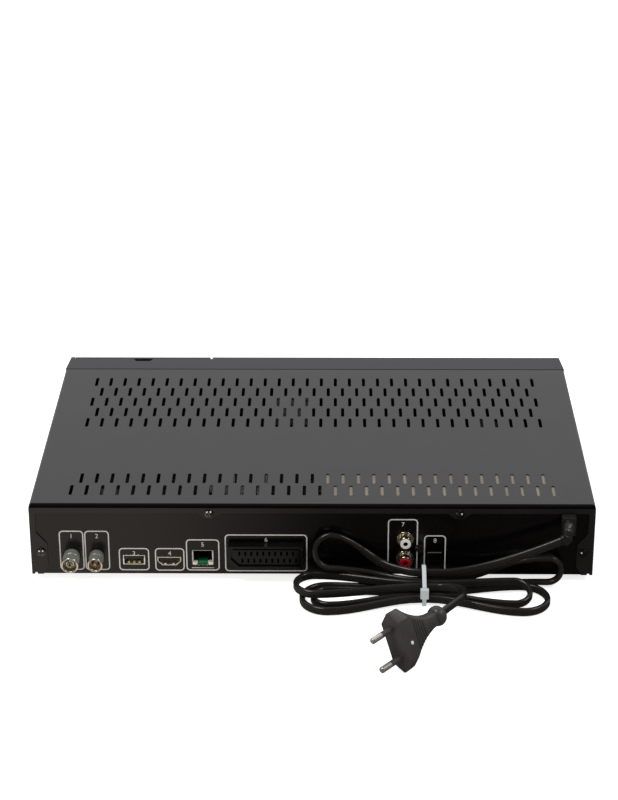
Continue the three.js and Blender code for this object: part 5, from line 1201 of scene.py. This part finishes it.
@dataclass
class RearPrinting(Assembly):
    """The printed frames round the sockets, with a plain number in each for the socket."""

    stroke: float = 0.75
    corner: float = 2.6
    ink: float = 0.06
    digit_height: float = 3.2
    # Size of the type for a digit of height 1
    type_size: float = 1.35
    # How far the frames' back lies in front of the panel
    clearance: float = 0.01
    # Left, right, bottom and top of each frame; heights are above the underside of the case
    frames: tuple[tuple[float, float, float, float], ...] = (
        (-161.7, -146.0, 2.5, 30.9), (-145.4, -129.6, 2.5, 30.9), (-123.8, -104.3, 2.3, 18.5),
        (-100.6, -81.7, 2.1, 18.5), (-80.6, -59.2, 2.3, 24.9), (-55.7, -2.9, 1.8, 28.5),
        (48.4, 67.6, 2.7, 39.8), (71.6, 85.6, 1.6, 28.2),
    )

    def frame(self, number: int, width: float, height: float, centre: Triple) -> None:
        """Prints one rounded frame.

        Args:
            number: The socket's number.
            width: Its outer width.
            height: Its outer height.
            centre: Its middle.
        """
        piece = self.bench.start(f"printed_frame_{number}", bpy.ops.mesh.primitive_plane_add, size=1)
        bpy.ops.transform.resize(value=(width * MM, height * MM, 1))
        bpy.ops.mesh.bevel(offset=self.corner * MM, segments=5, affect="VERTICES")
        bpy.ops.mesh.select_mode(type="FACE")
        bpy.ops.mesh.select_all(action="SELECT")
        bpy.ops.mesh.inset(thickness=self.stroke * MM)
        bpy.ops.mesh.delete(type="FACE")
        bpy.ops.mesh.select_all(action="SELECT")
        bpy.ops.mesh.extrude_region_move(TRANSFORM_OT_translate={"value": (0, 0, self.ink * MM)})
        self.bench.tidy_normals()
        self.bench.place(piece, REARWARD, centre)
        self.bench.finish(piece, SCREEN_INK)

    def digit(self, number: int, centre: Triple) -> None:
        """Prints a socket's number.

        Args:
            number: The number.
            centre: Its middle.
        """
        self.bench.clear()
        bpy.ops.object.text_add(location=(0, 0, 0))
        text = bpy.context.object
        text.name = f"printed_number_{number}"
        text.data.body = str(number)
        text.data.size = self.digit_height * self.type_size * MM
        text.data.align_x = "CENTER"
        text.data.align_y = "CENTER"
        text.data.extrude = self.ink / 2 * MM
        text.data.resolution_u = 3
        bpy.ops.object.convert(target="MESH")
        piece = bpy.context.object
        bpy.ops.object.mode_set(mode="EDIT")
        self.bench.tidy_normals()
        self.bench.place(piece, REARWARD, centre)
        self.bench.finish(piece, SCREEN_INK)

    def build(self) -> None:
        """Prints every frame, with its number under its top."""
        for number, (left, right, bottom, top) in enumerate(self.frames, start=1):
            middle = (left + right) / 2
            self.frame(number, right - left, top - bottom,
                       (middle, REAR_Y - self.clearance, FOOT_HEIGHT + (bottom + top) / 2))
            up = FOOT_HEIGHT + top - self.stroke - self.digit_height
            self.digit(number, (middle, REAR_Y - self.ink / 2, up))


@dataclass
class AntennaSocket(Assembly):
    """The rolled rim, the insulator and the contact of one coaxial socket."""

    name: str
    x: float
    outer: float
    bore: float
    reach: float
    height: float = FOOT_HEIGHT + 12.4
    # Radius of the rolled rim, how far it stands out round the barrel, and its stretch along it
    roll: float = 0.6
    rim_proud: float = 0.12
    rim_stretch: float = 1.3
    cup_depth: float = 8.2
    cup_hole: float = 2.9
    spring_radius: float = 2.5
    spring_wall: float = 0.8
    spring_ends: Pair = (2.0, 10.6)
    spring_gap_deg: float = 34.0
    # Radius and height of each station of the pin
    nose: tuple[Pair, ...] = ((1.25, 3.0), (1.25, 10.0), (1.1, 10.6), (0.7, 11.0), (0.2, 11.15))

    def rim(self) -> None:
        """Rolls the bright rim over the end of the barrel."""
        piece = self.bench.start(
            f"{self.name}_rim", bpy.ops.mesh.primitive_torus_add, major_segments=56, minor_segments=12,
            major_radius=(self.outer + self.rim_proud - self.roll) * MM, minor_radius=self.roll * MM)
        bpy.ops.transform.resize(value=(1, 1, self.rim_stretch))
        self.bench.tidy_normals()
        self.bench.place(piece, REARWARD, (self.x, REAR_Y - self.reach + self.roll, self.height))
        self.bench.finish(piece, NICKEL)

    def cup(self) -> None:
        """Turns the insulator that fills the barrel behind its open end."""
        wall, hole, depth = self.bore - 0.05, self.cup_hole, self.cup_depth
        mouth = (self.bore - 0.5, depth + 0.3)
        profile = ((wall, 0.8), (wall, depth), mouth, (hole, depth - 0.6), (hole, 0.8))
        self.bench.turned(f"{self.name}_insulator", DIELECTRIC, profile, 36, REARWARD,
                          (self.x, REAR_Y, self.height))

    def spring_half(self, side: int) -> None:
        """Bends one half of the split spring contact.

        Args:
            side: 1 for the right half, -1 for the left.
        """
        start, end = self.spring_ends
        piece = self.bench.start(f"{self.name}_spring_{side + 2}", bpy.ops.mesh.primitive_plane_add, size=1)
        bpy.ops.transform.resize(value=(self.spring_wall * MM, (end - start) * MM, 1))
        bpy.ops.object.mode_set(mode="OBJECT")
        middle = Vector((self.spring_radius - self.spring_wall / 2, 0, (end + start) / 2))
        strip = Matrix.Translation(middle * MM)
        first_angle = math.radians(-90 + self.spring_gap_deg / 2)
        self.bench.place(piece, Matrix.Rotation(first_angle, 4, "Z") @ strip @ REARWARD, (0, 0, 0))
        self.bench.edit_all()
        bpy.ops.mesh.spin(steps=14, angle=math.radians(180 - self.spring_gap_deg),
                          center=(0, 0, 0), axis=(0, 0, 1))
        self.bench.tidy_normals()
        turn = REARWARD @ Matrix.Rotation(0.0 if side > 0 else math.pi, 4, "Z")
        self.bench.place(piece, turn, (self.x, REAR_Y, self.height))
        # The split spring is bare metal lightened to near-white: partly painted highlight
        self.bench.finish(piece, BARE_METAL_AND_GLINTS)

    def build(self, has_pin: bool) -> None:
        """Dresses the socket.

        Args:
            has_pin: Whether its contact is a pin, and not a split spring.
        """
        self.rim()
        self.cup()
        if has_pin:
            # The pin nose is bare metal lightened to near-white: partly painted highlight
            self.bench.turned(f"{self.name}_pin_nose", BARE_METAL_AND_GLINTS, self.nose, 24, REARWARD,
                              (self.x, REAR_Y, self.height))
            return
        for side in (-1, 1):
            self.spring_half(side)


def pair(apart: float) -> Places:
    """Two pieces, numbered 1 and 3, that far to the left and to the right of the middle."""
    return (("_1", -apart), ("_3", apart))


def row(count: int, pitch: float) -> Places:
    """Pieces numbered from 1 in an even row about the middle."""
    return tuple((f"_{i + 1}", (i - (count - 1) / 2) * pitch) for i in range(count))


@dataclass(frozen=True)
class Insert:
    """A small block inside or round the mouth of a socket, or several alike.

    Attributes:
        name: The start of its name.
        finish: Its finish.
        size: Width, depth and height.
        inside: How far its middle lies behind the rear panel's outer face.
        up: How far its middle lies above the socket's axis.
        edge: Radius of its edges.
        places: The end of each one's name, and its distance to the right of the axis.
    """

    name: str
    finish: Finish
    size: Triple
    inside: float
    up: float
    edge: float = 0.05
    places: Places = (("", 0.0),)


@dataclass
class DataSockets(Assembly):
    """The tongues, contacts, linings and bright edges of the three flat sockets, the edges lightened to a
    near-white painted highlight.
    """

    # X of each socket, the height of its axis above the underside of the case, and its inserts
    usb: tuple[float, float, tuple[Insert, ...]] = (-114.1, 9.9, (
        Insert("usb_tongue", BLACK_PLASTIC, (12.0, 10.0, 2.2), 5.3, 1.65, 0.15),
        Insert("usb_contact", GOLD, (1.0, 9.0, 0.3), 6.0, 0.42, 0.075, row(4, 2.5)),
        Insert("usb_spring", GOLD, (1.5, 2.4, 0.8), 1.2, -1.9, 0.25, row(3, 3.4)),
        Insert("usb_edge", BARE_METAL_AND_GLINTS, (0.75, 0.3, 4.2), -0.1, -0.9, 0.1, pair(6.7)),
    ))
    hdmi: tuple[float, float, tuple[Insert, ...]] = (-91.5, 9.0, (
        Insert("hdmi_tongue", BLACK_PLASTIC, (12.6, 8.0, 1.8), 4.5, 1.1, 0.12),
        Insert("hdmi_lower_contact", GOLD, (0.5, 7.0, 0.2), 4.6, 0.24, 0.05, row(10, 1.0)),
        Insert("hdmi_tab", BARE_METAL_AND_GLINTS, (1.0, 0.6, 0.9), 0.4, -2.2, 0.1, pair(2.6)),
    ))
    network: tuple[float, float, tuple[Insert, ...]] = (-70.0, 11.4, (
        Insert("network_contact", GOLD, (0.45, 10.0, 0.45), 8.0, 4.2, 0.1125, row(8, 1.02)),
        # The keyway's board is the bright copy of the board green: painted light
        Insert("network_keyway_board", KEYWAY_GREEN_PAINTED_LIT, (6.2, 5.0, 2.6), 4.1, -4.25, 0.2),
        Insert("network_wall", BLACK_PLASTIC, (0.3, 17.0, 6.6), 9.8, 1.2, places=pair(5.8)),
        Insert("network_ledge", BLACK_PLASTIC, (2.5, 17.0, 0.3), 9.8, -2.1, places=pair(4.6)),
        Insert("network_back", BLACK_PLASTIC, (11.5, 0.4, 9.4), 18.4, -0.2),
        Insert("network_floor", BLACK_PLASTIC, (6.2, 12.0, 0.3), 12.4, -5.3),
        Insert("network_strip", BARE_METAL_AND_GLINTS, (1.1, 0.3, 6.0), 0.75, 1.4, 0.1, pair(6.7)),
        Insert("network_corner", BARE_METAL_AND_GLINTS, (2.6, 0.25, 2.0), 0.65, -4.4, 0.1, pair(5.2)),
        Insert("network_lip", NICKEL, (14.4, 0.3, 0.7), -0.12, -7.0, 0.1),
    ))

    def build(self) -> None:
        """Fills the three sockets."""
        for x, axis_up, inserts in (self.usb, self.hdmi, self.network):
            for insert in inserts:
                for suffix, shift in insert.places:
                    centre = (x + shift, REAR_Y + insert.inside, FOOT_HEIGHT + axis_up + insert.up)
                    self.bench.block(insert.name + suffix, insert.finish, insert.size, centre, insert.edge)


@dataclass
class ScartSocket(Assembly):
    """The wide socket's contact blades, deep in its two rows of slots, in blackened steel: darker than bright
    blades, a painted shade that keeps the slots dark.
    """

    x: float = -29.4
    up: float = 14.8
    columns: int = 10
    pitch: float = 3.81
    row_spacing: float = 5.08
    bevel: float = 5.2
    blade: Triple = (0.45, 1.6, 1.8)
    blade_edge: float = 0.1
    proud: float = 1.2

    def build(self) -> None:
        """Sets a blade in each slot, the rows shifted against each other."""
        for level in range(2):
            shift = (1 if level == 0 else -1) * self.pitch / 4
            up = FOOT_HEIGHT + self.up + (level - 0.5) * self.row_spacing
            for suffix, beside in row(self.columns, self.pitch):
                centre = (self.x + self.bevel / 4 + shift + beside, REAR_Y - self.proud, up)
                # Dark steel for the blades: painted shade in the slots
                self.bench.block(f"scart_blade_{level + 1}{suffix}", SCREW_STEEL, self.blade, centre,
                                 self.blade_edge, "nickel")


@dataclass
class SmallFittings(Assembly):
    """The painted glints on the cover screws and the painted highlight on the ledge over the optical jack."""

    # Screw, then each painted glint's offset across and up from the head's middle
    marks: tuple[tuple[str, float, float], ...] = (
        ("top_1", -1.2, 1.6), ("top_1", 1.2, 1.75), ("top_2", 1.25, 0.7),
        ("side_1", -1.1, 1.3), ("side_1", 1.1, 1.35), ("side_2", -1.15, 0.9),
    )
    # Radius and height of each station of a painted glint
    mark: tuple[Pair, ...] = ((0.55, -0.2), (0.55, 0.02), (0.33, 0.16))
    ledge_size: Triple = (8.8, 0.5, 0.35)
    ledge_edge: float = 0.08
    ledge_at: Triple = (78.4, REAR_Y - 0.6, FOOT_HEIGHT + 16.0)

    def build(self) -> None:
        """Adds each painted glint and the ledge's painted highlight."""
        for i, (screw, across, up) in enumerate(self.marks, start=1):
            head = bpy.data.objects[f"cover_screw_{screw}"]
            corners = [head.matrix_world @ vertex.co / MM for vertex in head.data.vertices]
            middle = sum(c.x for c in corners) / len(corners)
            height = (min(c.z for c in corners) + max(c.z for c in corners)) / 2
            centre = (middle + across, min(c.y for c in corners), height + up)
            # Near-white dots on the head: painted glints
            self.bench.turned(f"screw_mark_{i}", BARE_METAL_AND_GLINTS, self.mark, 14, REARWARD, centre, "screw_steel")
        # The ledge's grey strip is a painted highlight
        self.bench.block("optical_ledge_highlight", LEDGE_PAINTED_HIGHLIGHT, self.ledge_size, self.ledge_at, self.ledge_edge)


@dataclass
class BoardFittings(Assembly):
    """Small parts on the two boards, glimpsed through the vents."""

    # X, distance from the rear panel, radius and height of each can
    cans: tuple[tuple[float, float, float, float], ...] = (
        (-20, 60, 4, 11), (-10, 60, 4, 11), (20, 70, 5, 13), (35, 70, 5, 13),
        (60, 110, 4, 9), (-110, 120, 4, 9), (20, 150, 3, 7), (30, 150, 3, 7),
        (132, 176, 5, 16), (146, 176, 5, 16), (158, 150, 4, 12),
    )
    # X, distance from the rear panel, width and depth of each chip
    chips: tuple[tuple[float, float, float, float], ...] = (
        (0, 100, 14, 8), (0, 120, 14, 8), (40, 100, 10, 10), (-95, 96, 9, 9),
        (-95, 150, 12, 12), (60, 150, 8, 6), (-60, 160, 10, 6), (-40, 175, 7, 7),
    )
    chip_height: float = 1.4
    chip_edge: float = 0.2
    # The cans' gap to the board, and the height of a chip's middle over it
    can_gap: float = 0.02
    chip_up: float = 0.75

    def build(self) -> None:
        """Places every can and chip."""
        for i, (x, inside, radius, height) in enumerate(self.cans, start=1):
            profile = ((radius * 0.8, 0.0), (radius, 0.4), (radius, 1.6), (radius * 0.9, 2.1), (radius, 2.6),
                       (radius, height - 0.4), (radius * 0.88, height), (radius * 0.4, height - 0.1))
            self.bench.turned(f"board_can_{i}", SLEEVE, profile, 24, UPRIGHT,
                              (x, REAR_Y + inside, BOARD_TOP + self.can_gap))
        for i, (x, inside, width, depth) in enumerate(self.chips, start=1):
            self.bench.block(f"board_chip_{i}", BLACK_PLASTIC, (width, depth, self.chip_height),
                             (x, REAR_Y + inside, BOARD_TOP + self.chip_up), self.chip_edge)


@dataclass
class Receiver(Assembly):
    """The whole object: its dressed CAD nodes and every piece that Blender adds."""

    def dress_nodes(self, nodes: dict[str, Piece], slots: dict[str, str]) -> None:
        """Gives every CAD node its material, and the visible ones rounded edges.

        Args:
            nodes: The CAD nodes by name.
            slots: The record's material slot of each node.
        """
        radii = {name: radius for radius, names in EDGE_RADII.items() for name in names}
        for finish, names in NODE_FINISHES.items():
            for name in names:
                materials = nodes[name].data.materials
                materials.clear()
                materials.append(self.bench.material(finish))
                if name in radii:
                    self.bench.refined_copy(name, radii[name], finish, slots[name])
        self.paint_bend(bpy.data.objects["top_cover_dressed"])

    def paint_bend(self, cover: Piece) -> None:
        """Gives the faces of the cover's rear bend a near-black matt paint, a painted shade for the bend's
        dark reflection.

        Args:
            cover: The dressed cover.
        """
        cover.data.materials.append(self.bench.material(BEND_PAINTED_SHADE))
        start = (REAR_Y + BEND_RADIUS + BEND_SHADE_MARGIN) * MM
        low = (FOOT_HEIGHT + CASE_HEIGHT - BEND_RADIUS) * MM
        self.bench.activate(cover)
        self.bench.edit_all()
        bpy.ops.mesh.bisect(plane_co=(0, start, 0), plane_no=(0, 1, 0))
        bpy.ops.object.mode_set(mode="OBJECT")
        self.bench.flatten_faces(cover)
        for face in cover.data.polygons:
            # The bend's faces take the painted shade
            if face.center.y < start and face.center.z > low and face.normal.z > 0.12:
                face.material_index = 1

    def build(self, frame: dict) -> None:
        """Builds everything around the CAD model, the cord first.
        """
        plug = MainsPlug(self.bench)
        cord = MainsCord(self.bench, plug.cord_end())
        cord.declare(cord.build(), plug.build())
        slots = {s["node"]: s["material_slot"] for s in frame["record"]["subparts"]}
        self.dress_nodes(frame["nodes"], slots)
        RearPrinting(self.bench).build()
        AntennaSocket(self.bench, "antenna_in", -154.0, 5.35, 4.7, 13.0).build(has_pin=False)
        AntennaSocket(self.bench, "antenna_out", -138.0, 4.75, 4.1, 12.4).build(has_pin=True)
        for assembly in (DataSockets, ScartSocket, SmallFittings, BoardFittings):
            assembly(self.bench).build()


def main() -> None:
    """Loads the CAD frame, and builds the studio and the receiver."""
    logging.basicConfig(level=logging.INFO, format="%(name)s: %(message)s")
    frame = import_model()
    Studio().build()
    Receiver(Bench()).build(frame)


if __name__ == "__main__":
    main()
